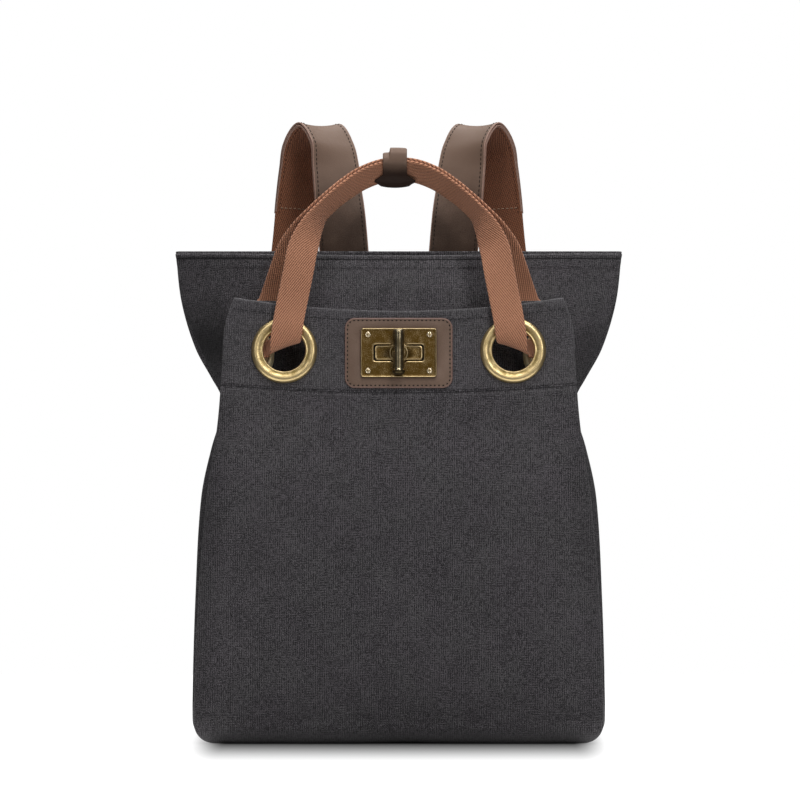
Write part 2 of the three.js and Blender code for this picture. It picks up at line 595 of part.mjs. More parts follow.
// Right and left pieces; the left ones mirror the right
const footTop = CANVAS / 2 + FOOT_RADIUS;
const innerShare = (INNER_EYELET.z - footTop) / (POCKET_SIDE_TOP - footTop);
const innerRow = FOOT_ROWS + (1 - FOOT_ROWS) * innerShare;
const innerSeat = pocketSide(INNER_EYELET.share, innerRow);
const innerOut = outward(pocketSide, INNER_EYELET.share, innerRow);
for (const [side, sign] of [['right', 1], ['left', -1]]) {
  const half = new THREE.Group();
  half.scale.x = sign;
  backpack.add(half);

  const innerFrame = new THREE.Group();
  innerFrame.position.copy(innerSeat);
  innerFrame.quaternion.setFromUnitVectors(new THREE.Vector3(0, 0, 1), innerOut);
  half.add(innerFrame);
  const hole = rod(INNER_EYELET.barrel + HOLE_PLAY, -CUT_REACH, CUT_REACH, INNER_EYELET.sides);
  hole.applyQuaternion(innerFrame.quaternion).translate(innerSeat.x, innerSeat.y, innerSeat.z);
  const pocketBody = solid(wall(pocketSide, WALL_COLUMNS.gusset, WALL_ROWS)).subtract(solid(hole));
  piece(half, `pocket_gusset_${side}`, geometryOf(pocketBody), canvas);
  piece(innerFrame, `inner_eyelet_${side}`, eyelet(INNER_EYELET), paleBrass);

  piece(half, `side_gusset_${side}`, wall(mainSide, WALL_COLUMNS.gusset, WALL_ROWS), canvas);

  const eyeletFrame = onBand(EYELET.x, EYELET.z);
  half.add(eyeletFrame);
  piece(eyeletFrame, `eyelet_${side}`, eyelet(EYELET), paleBrass);

  const stepsPerRow = STRAP.stepsPerRow;
  const lastRow = STRAP_ROUTE.length - 1;
  const leatherShift = () => -(STRAP.gap + STRAP.leather) / 2;
  const leatherFrames = framesAlong(STRAP_ROUTE, false, stepsPerRow, 0, STRAP.leatherRows, leatherShift);
  const leatherStrip = ribbon(leatherFrames, STRAP.width, STRAP.leather, false);
  piece(half, `shoulder_strap_leather_${side}`, leatherStrip, leather);
  const webbingShift = () => (STRAP.gap + STRAP.webbing) / 2;
  const webbingFrames = framesAlong(STRAP_ROUTE, false, stepsPerRow, 0, lastRow, webbingShift);
  const webbingStrip = ribbon(webbingFrames, STRAP.width, STRAP.webbing, false);
  piece(half, `shoulder_strap_webbing_${side}`, webbingStrip, webbing);
}

// Handle: one closed loop of webbing, its left half the mirror of the right
const mirrored = HANDLE_ROUTE.slice(1, -1).reverse().map((r) => ({ ...r, x: -r.x, ax: -r.ax }));
const handleLoop = [...HANDLE_ROUTE, ...mirrored];
const loopRows = handleLoop.length;
const lapShift = (mix) => -HANDLE.lap * mix('lap');
const handleFrames = framesAlong(handleLoop, true, HANDLE.stepsPerRow, 0, loopRows, lapShift);
piece(backpack, 'handle_webbing', ribbon(handleFrames, HANDLE.width, HANDLE.thick, true), webbing);

// Keeper: a leather band wrapped round both layers at the top of the arch, longer underneath
const keeperWidth = 2 * (KEEPER.width + KEEPER.thick);
const keeperHeight = 2 * (KEEPER.inside + KEEPER.thick);
const keeperOutline = roundedRectangle(keeperWidth, keeperHeight, KEEPER.corner);
const keeperHole = roundedRectangle(2 * KEEPER.width, 2 * KEEPER.inside, KEEPER.innerCorner, THREE.Path);
keeperOutline.holes.push(keeperHole);
const cornerSegments = 2;
const bandSteps = 3;
const keeperBand = slab(keeperOutline, -KEEPER.half, KEEPER.half, cornerSegments, bandSteps);
const corners = keeperBand.attributes.position;
for (let k = 0; k < corners.count; k += 1) {
  const through = corners.getY(k);
  const underneath = THREE.MathUtils.smoothstep(-through, -KEEPER.thick, KEEPER.thick);
  const along = corners.getZ(k) * (1 + KEEPER.flare * underneath);
  corners.setXYZ(k, along, corners.getX(k), through - along ** 2 / (2 * KEEPER.bend));
}
const keeper = piece(backpack, 'handle_keeper', keeperBand, leather);
keeper.position.set(HANDLE_ROUTE[0].x, HANDLE_ROUTE[0].y, HANDLE_ROUTE[0].z);
keeper.rotation.x = THREE.MathUtils.degToRad(KEEPER.tilt);

export default backpack;
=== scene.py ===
# A canvas backpack with a bellows pocket, webbing handle, turn lock and leather-faced straps.
# It stands on the floor with its front along -Y. The bag's sizes are millimetres, made metres in each
# mesh, and the studio's are metres.
import math

import bpy
import numpy as np
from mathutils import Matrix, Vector, noise


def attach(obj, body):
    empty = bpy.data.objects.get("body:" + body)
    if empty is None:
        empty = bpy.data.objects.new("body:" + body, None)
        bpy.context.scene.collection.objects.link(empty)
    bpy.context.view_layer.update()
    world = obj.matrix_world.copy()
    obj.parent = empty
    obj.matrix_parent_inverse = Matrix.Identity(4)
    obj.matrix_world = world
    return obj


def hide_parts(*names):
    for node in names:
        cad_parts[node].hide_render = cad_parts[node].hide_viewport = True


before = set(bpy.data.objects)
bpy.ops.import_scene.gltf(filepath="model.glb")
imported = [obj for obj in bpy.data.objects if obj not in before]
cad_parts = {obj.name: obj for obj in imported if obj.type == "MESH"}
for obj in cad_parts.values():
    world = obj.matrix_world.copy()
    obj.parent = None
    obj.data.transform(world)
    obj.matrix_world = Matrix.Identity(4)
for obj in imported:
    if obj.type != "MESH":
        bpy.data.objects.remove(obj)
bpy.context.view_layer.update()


# Studio
# A long lens looks level at the front of the bag. The floor is white paper that glows, with the
# glow faded out close round the bag's foot as a painted contact shadow. A wide lamp hangs over the
# bag and a smaller one above and before it, and a tall soft box stands before it on each side, the
# right one stronger.
CAMERA_SPOT = (0.001, -3.445, 0.2675)
VIEW_DISTANCE = 3.4              # from the camera to the lock
VIEW_WIDTH = 0.624               # what the picture spans there
SENSOR = 36.0
FLOOR_CORNERS = ((-0.5, -0.6, 0), (0.5, -0.6, 0), (0.5, 0.8, 0), (-0.5, 0.8, 0))
ROOM_LIGHT = (0.06, 0.06, 0.063, 1)
PAPER = (0.16, 0.16, 0.16, 1)
WHITE = (1, 1, 1, 1)
BLACK = (0, 0, 0, 1)
# Half the size of the painted contact shadow under the bag, how much quicker it fades sideways, and how
# far
FOOT_SHADE = {"width": 0.135, "depth": 0.04, "sideways": 7, "reach": 0.23}


class Wire:
    """An output socket in a node tree; sums and products of wires add the nodes for them."""

    def __init__(self, tree, socket):
        self.tree = tree
        self.socket = socket

    def node(self, kind, settings=None, sockets=None, out=0):
        """Adds a node: first its settings, then the values or links of its sockets."""
        made = self.tree.nodes.new(kind)
        for setting, value in (settings or {}).items():
            setattr(made, setting, value)
        for key, value in (sockets or {}).items():
            if isinstance(value, Wire):
                self.tree.links.new(value.socket, made.inputs[key])
            else:
                made.inputs[key].default_value = value
        return Wire(self.tree, made.outputs[out])

    def math(self, operation, first, second=0.0):
        return self.node("ShaderNodeMath", {"operation": operation}, {0: first, 1: second})

    def __add__(self, other):
        return self.math("ADD", self, other)

    def __sub__(self, other):
        return self.math("SUBTRACT", self, other)

    def __rsub__(self, other):
        return self.math("SUBTRACT", other, self)

    def __mul__(self, other):
        return self.math("MULTIPLY", self, other)

    def __pow__(self, power):
        return self.math("POWER", self, power)

    __radd__ = __add__
    __rmul__ = __mul__

    def wave(self):
        """A ripple from 0 to 1, one for each whole number."""
        return self.math("SINE", self * math.tau) * 0.5 + 0.5

    def band(self, low, high):
        """Rises smoothly from 0 at low to 1 at high."""
        sockets = {"Value": self, "From Min": low, "From Max": high}
        return self.node("ShaderNodeMapRange", {"interpolation_type": "SMOOTHSTEP"}, sockets)

    def stretch(self, x, y):
        """The surface coordinates, multiplied along each way of the cloth."""
        scale = (x, y, 1)
        return self.node("ShaderNodeVectorMath", {"operation": "MULTIPLY"}, {0: self, 1: scale})

    def grain(self, scale=1.0, detail=2.0):
        """Cloudy noise, about 0.5 on average."""
        return self.node("ShaderNodeTexNoise", None, {"Vector": self, "Scale": scale, "Detail": detail})

    def blend(self, first, second):
        """A colour between two, by this value."""
        return self.node("ShaderNodeMix", {"data_type": "RGBA"}, {0: self, 6: first, 7: second}, 2)

    def into(self, shader, socket):
        self.tree.links.new(self.socket, shader.inputs[socket])


scene = bpy.context.scene
scene.view_settings.view_transform = "Standard"
camera_data = bpy.data.cameras.new("camera")
camera_data.sensor_width = SENSOR
camera_data.lens = SENSOR * VIEW_DISTANCE / VIEW_WIDTH
camera = bpy.data.objects.new("camera", camera_data)
camera.location = CAMERA_SPOT
camera.rotation_euler = (math.pi / 2, 0, 0)
scene.collection.objects.link(camera)
scene.camera = camera


def lamp(name, spot, aim, width, height, watts):
    data = bpy.data.lights.new(name, "AREA")
    data.shape = "RECTANGLE"
    data.size = width
    data.size_y = height
    data.energy = watts
    made = bpy.data.objects.new(name, data)
    made.location = spot
    made.rotation_euler = (Vector(aim) - Vector(spot)).to_track_quat("-Z", "Y").to_euler()
    scene.collection.objects.link(made)


lamp("lamp_overhead", (0.1, 0.45, 2.0), (0, 0, 0.2), 2.2, 1.4, 43)
lamp("lamp_right", (0.72, -1.7, 1.35), (0, 0, 0.25), 0.5, 1.7, 14)
lamp("lamp_left", (-0.72, -1.7, 1.35), (0, 0, 0.25), 0.5, 1.7, 5.4)
lamp("lamp_top_front", (0.1, -1.1, 2.1), (0, 0, 0.25), 0.9, 0.6, 12)

world = bpy.data.worlds.new("studio")
world.use_nodes = True
scene.world = world
room = world.node_tree.nodes["Background"]
seen = Wire(world.node_tree, None).node("ShaderNodeLightPath")
seen.blend(ROOM_LIGHT, WHITE).into(room, "Color")

floor_mesh = bpy.data.meshes.new("floor")
floor_mesh.from_pydata(FLOOR_CORNERS, [], [[0, 1, 2, 3]])
floor = bpy.data.objects.new("floor", floor_mesh)
scene.collection.objects.link(floor)
paper = bpy.data.materials.new("paper")
paper.use_nodes = True
paper_shader = paper.node_tree.nodes["Principled BSDF"]
paper_shader.inputs["Base Color"].default_value = PAPER
paper_shader.inputs["Roughness"].default_value = 0.95
paper_shader.inputs["Specular IOR Level"].default_value = 0.1
paper_shader.inputs["Emission Strength"].default_value = 1.0
spot = Wire(paper.node_tree, None).node("ShaderNodeNewGeometry")
floor_x = spot.node("ShaderNodeSeparateXYZ", None, {0: spot})
floor_y = spot.node("ShaderNodeSeparateXYZ", None, {0: spot}, 1)
# The paper's glow is taken away round the bag's foot: a painted contact shadow
beside = (spot.math("ABSOLUTE", floor_x) - FOOT_SHADE["width"]) * FOOT_SHADE["sideways"]
before = spot.math("ABSOLUTE", floor_y) - FOOT_SHADE["depth"]
from_bag = (spot.math("MAXIMUM", beside) ** 2 + spot.math("MAXIMUM", before) ** 2) ** 0.5
from_bag.band(0.0, FOOT_SHADE["reach"]).blend(BLACK, WHITE).into(paper_shader, "Emission Color")
floor_mesh.materials.append(paper)


# Front panel
# The pocket's front is one sheet of heathered charcoal canvas with a separate top band seamed on.
# Its sides roll back to the gussets, its foot turns under, and two eyelets and the lock are set in.
MM = 0.001
CANVAS = 2.0                     # thickness
CANVAS_YARNS = 760               # pairs of yarns in a metre, each way
CANVAS_DARK = (0.018, 0.0165, 0.018, 1)
CANVAS_PALE = (0.0965, 0.0875, 0.0955, 1)
CANVAS_GREENER = (0.0965, 0.0915, 0.095, 1)
CANVAS_FLECK = (0.275, 0.255, 0.278, 1)
# The pale colour below serves both wear and painted light, the near-black one painted shade
CANVAS_WORN_AND_LIT = (0.16, 0.155, 0.16, 1)
CANVAS_PAINTED_SHADE = (0.006, 0.0055, 0.006, 1)
CANVAS_THREAD = (0.012, 0.011, 0.012, 1)
# A cut edge: share of the thickness left, share of it that the round stands out, and wear
CANVAS_EDGE = {"thin": 0.65, "round": 0.3, "wear_and_painted_light": 0.2}
FOOT_RADIUS = 14.0
FOOT_ROWS = 0.2                  # share of a wall's rows in the turned-under foot
FOOT_PAINTED_LIGHT = 1.05                 # the cloth is painted paler along its foot, as light from the floor
FRONT_TOP = 347.0
FRONT_SAG = 10.5                 # the top edge hangs lower in the middle
EDGE_ROLL = 3.0
EDGE_ROLL_WIDTH = 14.0
BAND_SEAM = 0.836                # share of the way up where the top band is seamed on
BAND_STITCH = 1.9                # how far above that seam its stitch row lies
FRONT_HEM_STITCH = 8.0           # and how far below the top edge the hem's row lies
FRONT_STITCHES = (3.4, 2.5, 0.34)   # pitch, length and radius of a stitch
LEAN = math.radians(5)
LOCK_Z = 304.0
LOCK_Y = -43.0
PATCH = {"width": 84.0, "height": 55.0, "thick": 1.8, "corner": 8.0}
EYELET_X = 89.3
EYELET_Z = 306.0
EYELET_BARREL = 19.4             # radius of the hole cut for an eyelet
LOCK_HOLE = 10.5                 # and for the lock


def band_y(z):
    """Depth of the leaning upper band at height z."""
    return LOCK_Y + (z - LOCK_Z) * math.tan(LEAN)


FRONT_PANEL = {
    "z": [0, 30, 110, 188, 240, 262, 290, 322, 336, 347],
    "half": [158, 158.5, 155.5, 149.4, 142, 139.6, 137.6, 136, 132.5, 128],
    "y": [-62, -62.5, -59.5, -54] + [band_y(z) for z in (240, 262, 290, 322, 336, 347)],
    "bow": [0, 5, 9, 8, 2, 0, 0, 0, 0, 0],
}


def unit(vectors):
    return vectors / np.linalg.norm(vectors, axis=-1, keepdims=True)


def ease(value, low, high):
    """Rises smoothly from 0 at low to 1 at high."""
    t = np.clip((value - low) / (high - low), 0, 1)
    return t * t * (3 - 2 * t)


def rows_at(table, column, z):
    """A column of a table at heights z, on a smooth curve through its rows."""
    heights = np.array(table["z"], float)
    values = np.array(table[column], float)
    index = np.arange(len(heights))
    low = np.maximum(index - 1, 0)
    high = np.minimum(index + 1, len(index) - 1)
    slopes = (values[high] - values[low]) / (heights[high] - heights[low])
    row = np.clip(np.searchsorted(heights, z) - 1, 0, len(heights) - 2)
    span = heights[row + 1] - heights[row]
    t = np.clip((z - heights[row]) / span, 0, 1)
    rise = (1 + 2 * t) * (1 - t) ** 2 * values[row] + t * t * (3 - 2 * t) * values[row + 1]
    return rise + t * (1 - t) * span * ((1 - t) * slopes[row] - t * slopes[row + 1])


def climb(v, top):
    """Height on an outer wall, and how far it has turned in under the bag there."""
    foot = np.minimum(v / FOOT_ROWS, 1) * math.pi / 2
    low = CANVAS / 2 + FOOT_RADIUS
    rise = np.maximum(v - FOOT_ROWS, 0) / (1 - FOOT_ROWS)
    z = CANVAS / 2 + FOOT_RADIUS * (1 - np.cos(foot)) + rise * (top - low)
    return z, FOOT_RADIUS * (1 - np.sin(foot))


def spread(u):
    """Share of the half width, with closer columns near the edges."""
    s = 2 * u - 1
    return s + 0.25 * (s - s ** 3)


def ripple(points, size, seed):
    """Smooth bumps of a size in millimetres at each point."""
    flat = points.reshape(-1, 3) / size + seed * 7.3
    return np.array([noise.noise(Vector(p)) for p in flat]).reshape(points.shape[:-1])


def facing(grid):
    return unit(np.cross(np.gradient(grid, axis=1), np.gradient(grid, axis=0)))


def shape(name, points, faces, uv, materials, picks=None, wear_and_painted_light=None, mirror=False):
    """A smooth mesh object from points in millimetres, with cloth coordinates at face corners."""
    places = np.array(points, float).reshape(-1, 3) * MM
    if mirror:
        places[:, 0] *= -1
        faces = [list(face)[::-1] for face in faces]
        uv = [list(corner)[::-1] for corner in uv]
    mesh = bpy.data.meshes.new(name)
    mesh.from_pydata(places.tolist(), [], [list(map(int, face)) for face in faces])
    layer = mesh.uv_layers.new(name="cloth")
    layer.data.foreach_set("uv", np.concatenate([np.array(c, float).ravel() for c in uv]) * MM)
    for material in materials:
        mesh.materials.append(material)
    if picks is not None:
        mesh.polygons.foreach_set("material_index", np.array(picks, np.int32))
    # This attribute carries wear, and on the canvas and leathers also painted light and painted shade
    if wear_and_painted_light is not None:
        painted_light_and_wear = mesh.attributes.new("wear_and_painted_light", "FLOAT", "POINT")
        painted_light_and_wear.data.foreach_set("value", np.array(wear_and_painted_light, np.float32))
    mesh.shade_smooth()
    made = bpy.data.objects.new(name, mesh)
    scene.collection.objects.link(made)
    return made


def canvas_wall(name, surface, columns, rows, material, relief=None, holes=(), mirror=False):
    """A sheet of canvas with round edges. Gives the piece, its outer skin and the way out of it."""
    u, v = np.meshgrid(columns, rows)
    middle = surface(u, v)
    wear_and_painted_light = np.zeros(u.shape)
    if relief is not None:
        height, wear_and_painted_light = relief(middle, u, v)
        middle = middle + facing(middle) * height[..., None]
    # Painted light: the foot is made paler, as if lit from the floor below
    wear_and_painted_light = wear_and_painted_light + FOOT_PAINTED_LIGHT * (1 - ease(middle[..., 2], 1, 22))
    out = facing(middle)
    half = np.full(u.shape, CANVAS / 2)
    half[[0, -1], :] *= CANVAS_EDGE["thin"]
    half[:, [0, -1]] *= CANVAS_EDGE["thin"]
    front = middle + out * half[..., None]
    back = middle - out * half[..., None]
    grid = np.arange(u.size).reshape(u.shape)
    border = np.concatenate([grid[0, :-1], grid[:-1, -1], grid[-1, :0:-1], grid[:0:-1, 0]])
    row, column = np.unravel_index(border, u.shape)
    inner = grid[np.clip(row, 1, u.shape[0] - 2), np.clip(column, 1, u.shape[1] - 2)]
    flat = middle.reshape(-1, 3)
    edge = flat[border] + unit(flat[border] - flat[inner]) * CANVAS * CANVAS_EDGE["round"]

    cells = np.stack([grid[:-1, :-1], grid[:-1, 1:], grid[1:, 1:], grid[1:, :-1]], -1)
    centres = flat[cells].mean(axis=2)
    kept = np.ones(cells.shape[:2], bool)
    for centre, axis, radius in holes:
        away = centres - centre
        away = away - (away @ axis)[..., None] * axis
        kept &= np.linalg.norm(away, axis=-1) > radius
    sides = []
    for shift, first, second in (((0, 1), 1, 2), ((0, -1), 3, 0), ((1, 0), 2, 3), ((-1, 0), 0, 1)):
        beyond = np.roll(kept, (-shift[0], -shift[1]), (0, 1))
        lip = cells[kept & ~beyond]
        sides.append(np.stack([lip[:, second], lip[:, first], lip[:, first], lip[:, second]], -1))
    sides = np.concatenate(sides)
    sides[:, 2:] += u.size
    ring = 2 * u.size + np.arange(len(border))
    after = np.roll(border, -1)
    ring_after = np.roll(ring, -1)
    faces = np.concatenate([
        cells[kept],
        cells[kept][:, ::-1] + u.size,
        np.stack([border, ring, ring_after, after], -1),
        np.stack([ring, border + u.size, after + u.size, ring_after], -1),
        sides,
    ])
    steps_across = np.linalg.norm(np.diff(middle, axis=1), axis=2).cumsum(axis=1)
    steps_up = np.linalg.norm(np.diff(middle, axis=0), axis=2).cumsum(axis=0)
    width = np.pad(steps_across, ((0, 0), (1, 0)))
    width = width - width[:, [u.shape[1] // 2]]
    cloth = np.stack([width, np.pad(steps_up, ((1, 0), (0, 0)))], -1).reshape(-1, 2)
    cloth = np.concatenate([cloth, cloth, cloth[border]])
    edge_worn = np.full(len(border), CANVAS_EDGE["wear_and_painted_light"])
    painted_light_and_wear = np.concatenate([wear_and_painted_light.ravel(), wear_and_painted_light.ravel() * 0, edge_worn])
    points = np.concatenate([front.reshape(-1, 3), back.reshape(-1, 3), edge])
    # The turned-under feet lie flat on the floor
    points[:, 2] = np.maximum(points[:, 2], 0)
    made = shape(name, points, faces, cloth[faces], [material], None, painted_light_and_wear, mirror)
    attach(made, "bag")
    return made, front, out


def finish(name, constants):
    """A new material: its shader with what is the same all over, and its cloth coordinates."""
    material = bpy.data.materials.new(name)
    material.use_nodes = True
    shader = material.node_tree.nodes["Principled BSDF"]
    for socket, value in constants.items():
        shader.inputs[socket].default_value = value
    place = Wire(material.node_tree, None).node("ShaderNodeUVMap", {"uv_map": "cloth"})
    return material, shader, place


def raised(height, depth, shader):
    """Feeds a height, in metres when multiplied by depth, to the shader's normal."""
    bump = height.node("ShaderNodeBump", None, {"Strength": 1.0, "Distance": depth, "Height": height})
    bump.into(shader, "Normal")


def canvas_finish():
    constants = {"Sheen Weight": 0.08, "Sheen Roughness": 0.6, "Specular IOR Level": 0.15}
    material, shader, place = finish("heathered_canvas", constants)
    # Warp and weft yarns each change tone along their length, and take turns on top
    over = place.node("ShaderNodeSeparateXYZ", None, {0: place})
    along = place.node("ShaderNodeSeparateXYZ", None, {0: place}, 1)
    weave = ((over * CANVAS_YARNS).wave() - 0.5) * ((along * CANVAS_YARNS).wave() - 0.5) * 2 + 0.5
    warp = place.stretch(1500, 240).grain(1, 2)
    weft = place.stretch(240, 1500).grain(1, 2)
    warp_lines = ((over * 575 + warp * 1.6).wave() - 0.5) * place.grain(75, 2).band(0.36, 0.6)
    weft_lines = ((along * 525 + weft * 1.6).wave() - 0.5) * place.grain(95, 2).band(0.42, 0.66)
    fleck = place.grain(1700, 1)
    slub = fleck.band(0.56, 0.74)
    wash = place.grain(14, 3) * 0.26 + place.grain(50, 3) * 0.26
    overdye = place.grain(26, 2).band(0.35, 0.65).blend(CANVAS_PALE, CANVAS_GREENER)
    top_yarn = warp * weave + weft * (1 - weave)
    heather = top_yarn * 1.4 + (warp + weft) * 0.3 + warp_lines * 0.6 + weft_lines * 0.45
    heather = heather + fleck * 0.8 + wash - 1.22
    wear_and_painted_light = place.node("ShaderNodeAttribute", {"attribute_name": "wear_and_painted_light"}, None, 2)
    yarn = (slub * 0.8).blend(heather.band(0.23, 0.74).blend(CANVAS_DARK, overdye), CANVAS_FLECK)
    # Paler for wear and painted light where the attribute is above 0, painted shade where it is below
    wear_and_light_paled = (wear_and_painted_light * (warp + 0.3)).band(0, 1).blend(yarn, CANVAS_WORN_AND_LIT)
    (wear_and_painted_light * -1).band(0, 1).blend(wear_and_light_paled, CANVAS_PAINTED_SHADE).into(shader, "Base Color")
    (fleck * 0.2 + 0.8).into(shader, "Roughness")
    raised(weave * 0.5 + warp * 0.6 + weft * 0.6, 0.0005, shader)
    return material


def thread_finish(name, colour):
    material, shader, place = finish(name, {"Specular IOR Level": 0.25})
    tone = place.grain(900, 2)
    pale = tuple(min(1, c * 1.8) for c in colour[:3]) + (1,)
    tone.band(0.3, 0.75).blend(colour, pale).into(shader, "Base Color")
    (tone * 0.2 + 0.55).into(shader, "Roughness")
    return material


def even_points(path, pitch):
    """Points a pitch apart along a path, as fractions of its rows."""
    steps = np.linalg.norm(np.diff(path, axis=0), axis=1)
    length = np.concatenate([[0], steps.cumsum()])
    count = max(1, int(length[-1] / pitch))
    places = (np.arange(count) + 0.5) * length[-1] / count
    return np.interp(places, length, np.arange(len(path)))


def stitches(name, seams, material, pitch, length, radius, mirror=False):
    """Rows of thread stitches; each seam is a path and the way out of the cloth along it."""
    along = np.array([-0.5, -0.28, 0, 0.28, 0.5]) * length
    girth = np.array([0.45, 0.9, 1, 0.9, 0.45]) * radius
    lift = np.array([-0.75, 0.2, 0.45, 0.2, -0.75]) * radius
    angles = np.arange(6) * math.tau / 6
    points = []
    for path, out in seams:
        rows = even_points(path, pitch)
        index = np.arange(len(path))
        centre = np.stack([np.interp(rows, index, path[:, k]) for k in range(3)], -1)
        up = unit(np.stack([np.interp(rows, index, out[:, k]) for k in range(3)], -1))
        ahead = np.stack([np.interp(rows + 0.2, index, path[:, k]) for k in range(3)], -1)
        behind = np.stack([np.interp(rows - 0.2, index, path[:, k]) for k in range(3)], -1)
        forward = unit(ahead - behind)
        side = np.cross(up, forward)
        for k in range(len(rows)):
            line = centre[k] + along[:, None] * forward[k] + lift[:, None] * up[k]
            rim = np.cos(angles)[:, None] * side[k] + np.sin(angles)[:, None] * up[k]
            points.append(line[:, None, :] + girth[:, None, None] * rim[None, :, :])
    points = np.array(points)
    count, rings, sides = points.shape[:3]
    index = np.arange(rings * sides).reshape(rings, sides)
    turned = np.roll(index, -1, axis=1)
    quads = np.stack([index[:-1], index[1:], turned[1:], turned[:-1]], -1).reshape(-1, 4)
    faces = []
    for k in range(count):
        start = k * rings * sides
        faces.extend((quads + start).tolist())
        faces.append((index[0] + start).tolist())
        faces.append((index[-1][::-1] + start).tolist())
    flat = points.reshape(-1, 3)
    uv = [flat[face][:, [0, 2]] for face in faces]
    made = shape(name, flat, faces, uv, [material], None, None, mirror)
    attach(made, "bag")
    return made


def on_skin(grid, columns, rows, u, v):
    """Places on a wall's grid for shares u and v of its columns and rows."""
    i = np.interp(u, columns, np.arange(len(columns)))
    j = np.interp(v, rows, np.arange(len(rows)))
    i0 = np.minimum(i.astype(int), len(columns) - 2)
    j0 = np.minimum(j.astype(int), len(rows) - 2)
    s = (i - i0)[:, None]
    t = (j - j0)[:, None]
    low = grid[j0, i0] * (1 - s) + grid[j0, i0 + 1] * s
    high = grid[j0 + 1, i0] * (1 - s) + grid[j0 + 1, i0 + 1] * s
    return low * (1 - t) + high * t


def seam_on(wall, columns, rows, u, v):
    """A seam's path on a wall and the way out along it."""
    return on_skin(wall[1], columns, rows, u, v), on_skin(wall[2], columns, rows, u, v)


def front_surface(u, v):
    s = spread(u)
    z, tuck = climb(v, FRONT_TOP)
    sagged = z - FRONT_SAG * v ** 3 * (1 - s * s)
    half = rows_at(FRONT_PANEL, "half", z) - tuck
    into_roll = np.maximum(0, 1 - (1 - np.abs(s)) * half / EDGE_ROLL_WIDTH)
    roll = EDGE_ROLL * into_roll ** 2 * (1 - tuck / FOOT_RADIUS)
    bow = rows_at(FRONT_PANEL, "bow", sagged) * (1 - s * s)
    return np.stack([s * half, rows_at(FRONT_PANEL, "y", sagged) + tuck + roll - bow, sagged], -1)


FRONT_RISE = (FRONT_TOP - FOOT_RADIUS) / (1 - FOOT_ROWS)   # millimetres up the panel per share


def front_relief(middle, u, v):
    x = middle[..., 0]
    z = middle[..., 2]
    side = 1 - np.abs(spread(u))
    from_eyelet = np.hypot(np.abs(x) - EYELET_X, z - EYELET_Z)
    from_patch = np.maximum(np.abs(x) - PATCH["width"] / 2, np.abs(z - LOCK_Z) - PATCH["height"] / 2)
    # Soft bumps, calm round the eyelets and the patch and at the side edges
    calm = ease(from_eyelet, 22, 46) * ease(from_patch, 0, 16) * ease(side, 0, 0.14)
    height = calm * (1.5 * ripple(middle, 78, 1) + 0.5 * ripple(middle, 27, 2))
    # The cloth puckers below the band's seam, swells on both sides of it and dips into it
    above = (v - BAND_SEAM) * FRONT_RISE
    pucker = np.sin(x * math.tau / 8.5 + 3 * ripple(middle, 30, 3)) * np.exp(-np.abs(above + 4) / 4.5)
    height += np.where(above < 0, 0.22 * pucker + 0.8 * np.exp(above / 13) * (1 - np.exp(above / 1.2)), 0)
    height += np.where(above > 0, 0.5 * np.exp(-above / 7) * ease(above, 0, 1.2), 0)
    height -= 1.5 * np.exp(-(above / 0.8) ** 2)
    # The top edge is folded into a hem, drawn in along its stitches
    below_rim = (1 - v) * FRONT_RISE
    height += 0.45 * (1 - ease(below_rim, 8.5, 10))
    height -= 0.25 * np.exp(-((below_rim - FRONT_HEM_STITCH) / 0.9) ** 2)
    # A painted highlight just under the seam and a paler rim, rub wear with a painted highlight;
    # painted shade in the seam and down the rolled sides
    wear_and_painted_light = 0.4 * np.exp(-np.abs(above + 2.4) / 0.9) + 0.3 * np.exp(-below_rim / 1.2)
    wear_and_painted_light = wear_and_painted_light - 1.5 * np.exp(-(above / 0.75) ** 2)
    wear_and_painted_light = wear_and_painted_light - 0.25 * (1 - ease(side, 0.02, 0.16)) * (1 - ease(z, 250, 280))
    # Painted light makes the leaning band paler, and painted shade the panel's lower part darker
    wear_and_painted_light = wear_and_painted_light + 0.24 * ease(above, 1.5, 3)
    wear_and_painted_light = wear_and_painted_light - 0.28 * (1 - ease(z, 170, 265)) * (0.5 + 0.5 * ease(side, 0.02, 0.2))
    return height, wear_and_painted_light


heathered_canvas = canvas_finish()
canvas_thread = thread_finish("canvas_thread", CANVAS_THREAD)
# Closer rows of the mesh where the seam and the hem bend it
close_lines = np.array([-6, -4.5, -3.2, -2.2, -1.5, -0.8, 0, 0.8, 1.5, 2.2, 3.2, 4.5, 6]) / FRONT_RISE
front_columns = np.linspace(0, 1, 133)
front_rows = np.unique(np.concatenate([
    np.linspace(0, FOOT_ROWS, 13),
    np.linspace(FOOT_ROWS, 1, 130),
    BAND_SEAM + close_lines,
    1 - np.array([0.8, 1.8, 5, 6.5, 7.4, 8, 8.6, 9.3, 10]) / FRONT_RISE,
]))
band_out = np.array([0, -math.cos(LEAN), math.sin(LEAN)])
eyelet_holes = [
    (np.array([side * EYELET_X, band_y(EYELET_Z), EYELET_Z]), band_out, EYELET_BARREL) for side in (1, -1)
]
lock_hole = [(np.array([0, LOCK_Y, LOCK_Z]), band_out, LOCK_HOLE)]
front_panel = canvas_wall(
    "front_panel_canvas", front_surface, front_columns, front_rows, heathered_canvas,
    front_relief, eyelet_holes + lock_hole,
)
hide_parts("front_panel")
seam_run = np.linspace(0.012, 0.988, 260)
level = np.ones_like(seam_run)
band_level = BAND_SEAM + BAND_STITCH / FRONT_RISE
hem_level = 1 - FRONT_HEM_STITCH / FRONT_RISE
front_seams = [
    seam_on(front_panel, front_columns, front_rows, seam_run, level * band_level),
    seam_on(front_panel, front_columns, front_rows, seam_run, level * hem_level),
]
front_stitching = stitches("front_panel_stitching", front_seams, canvas_thread, *FRONT_STITCHES)


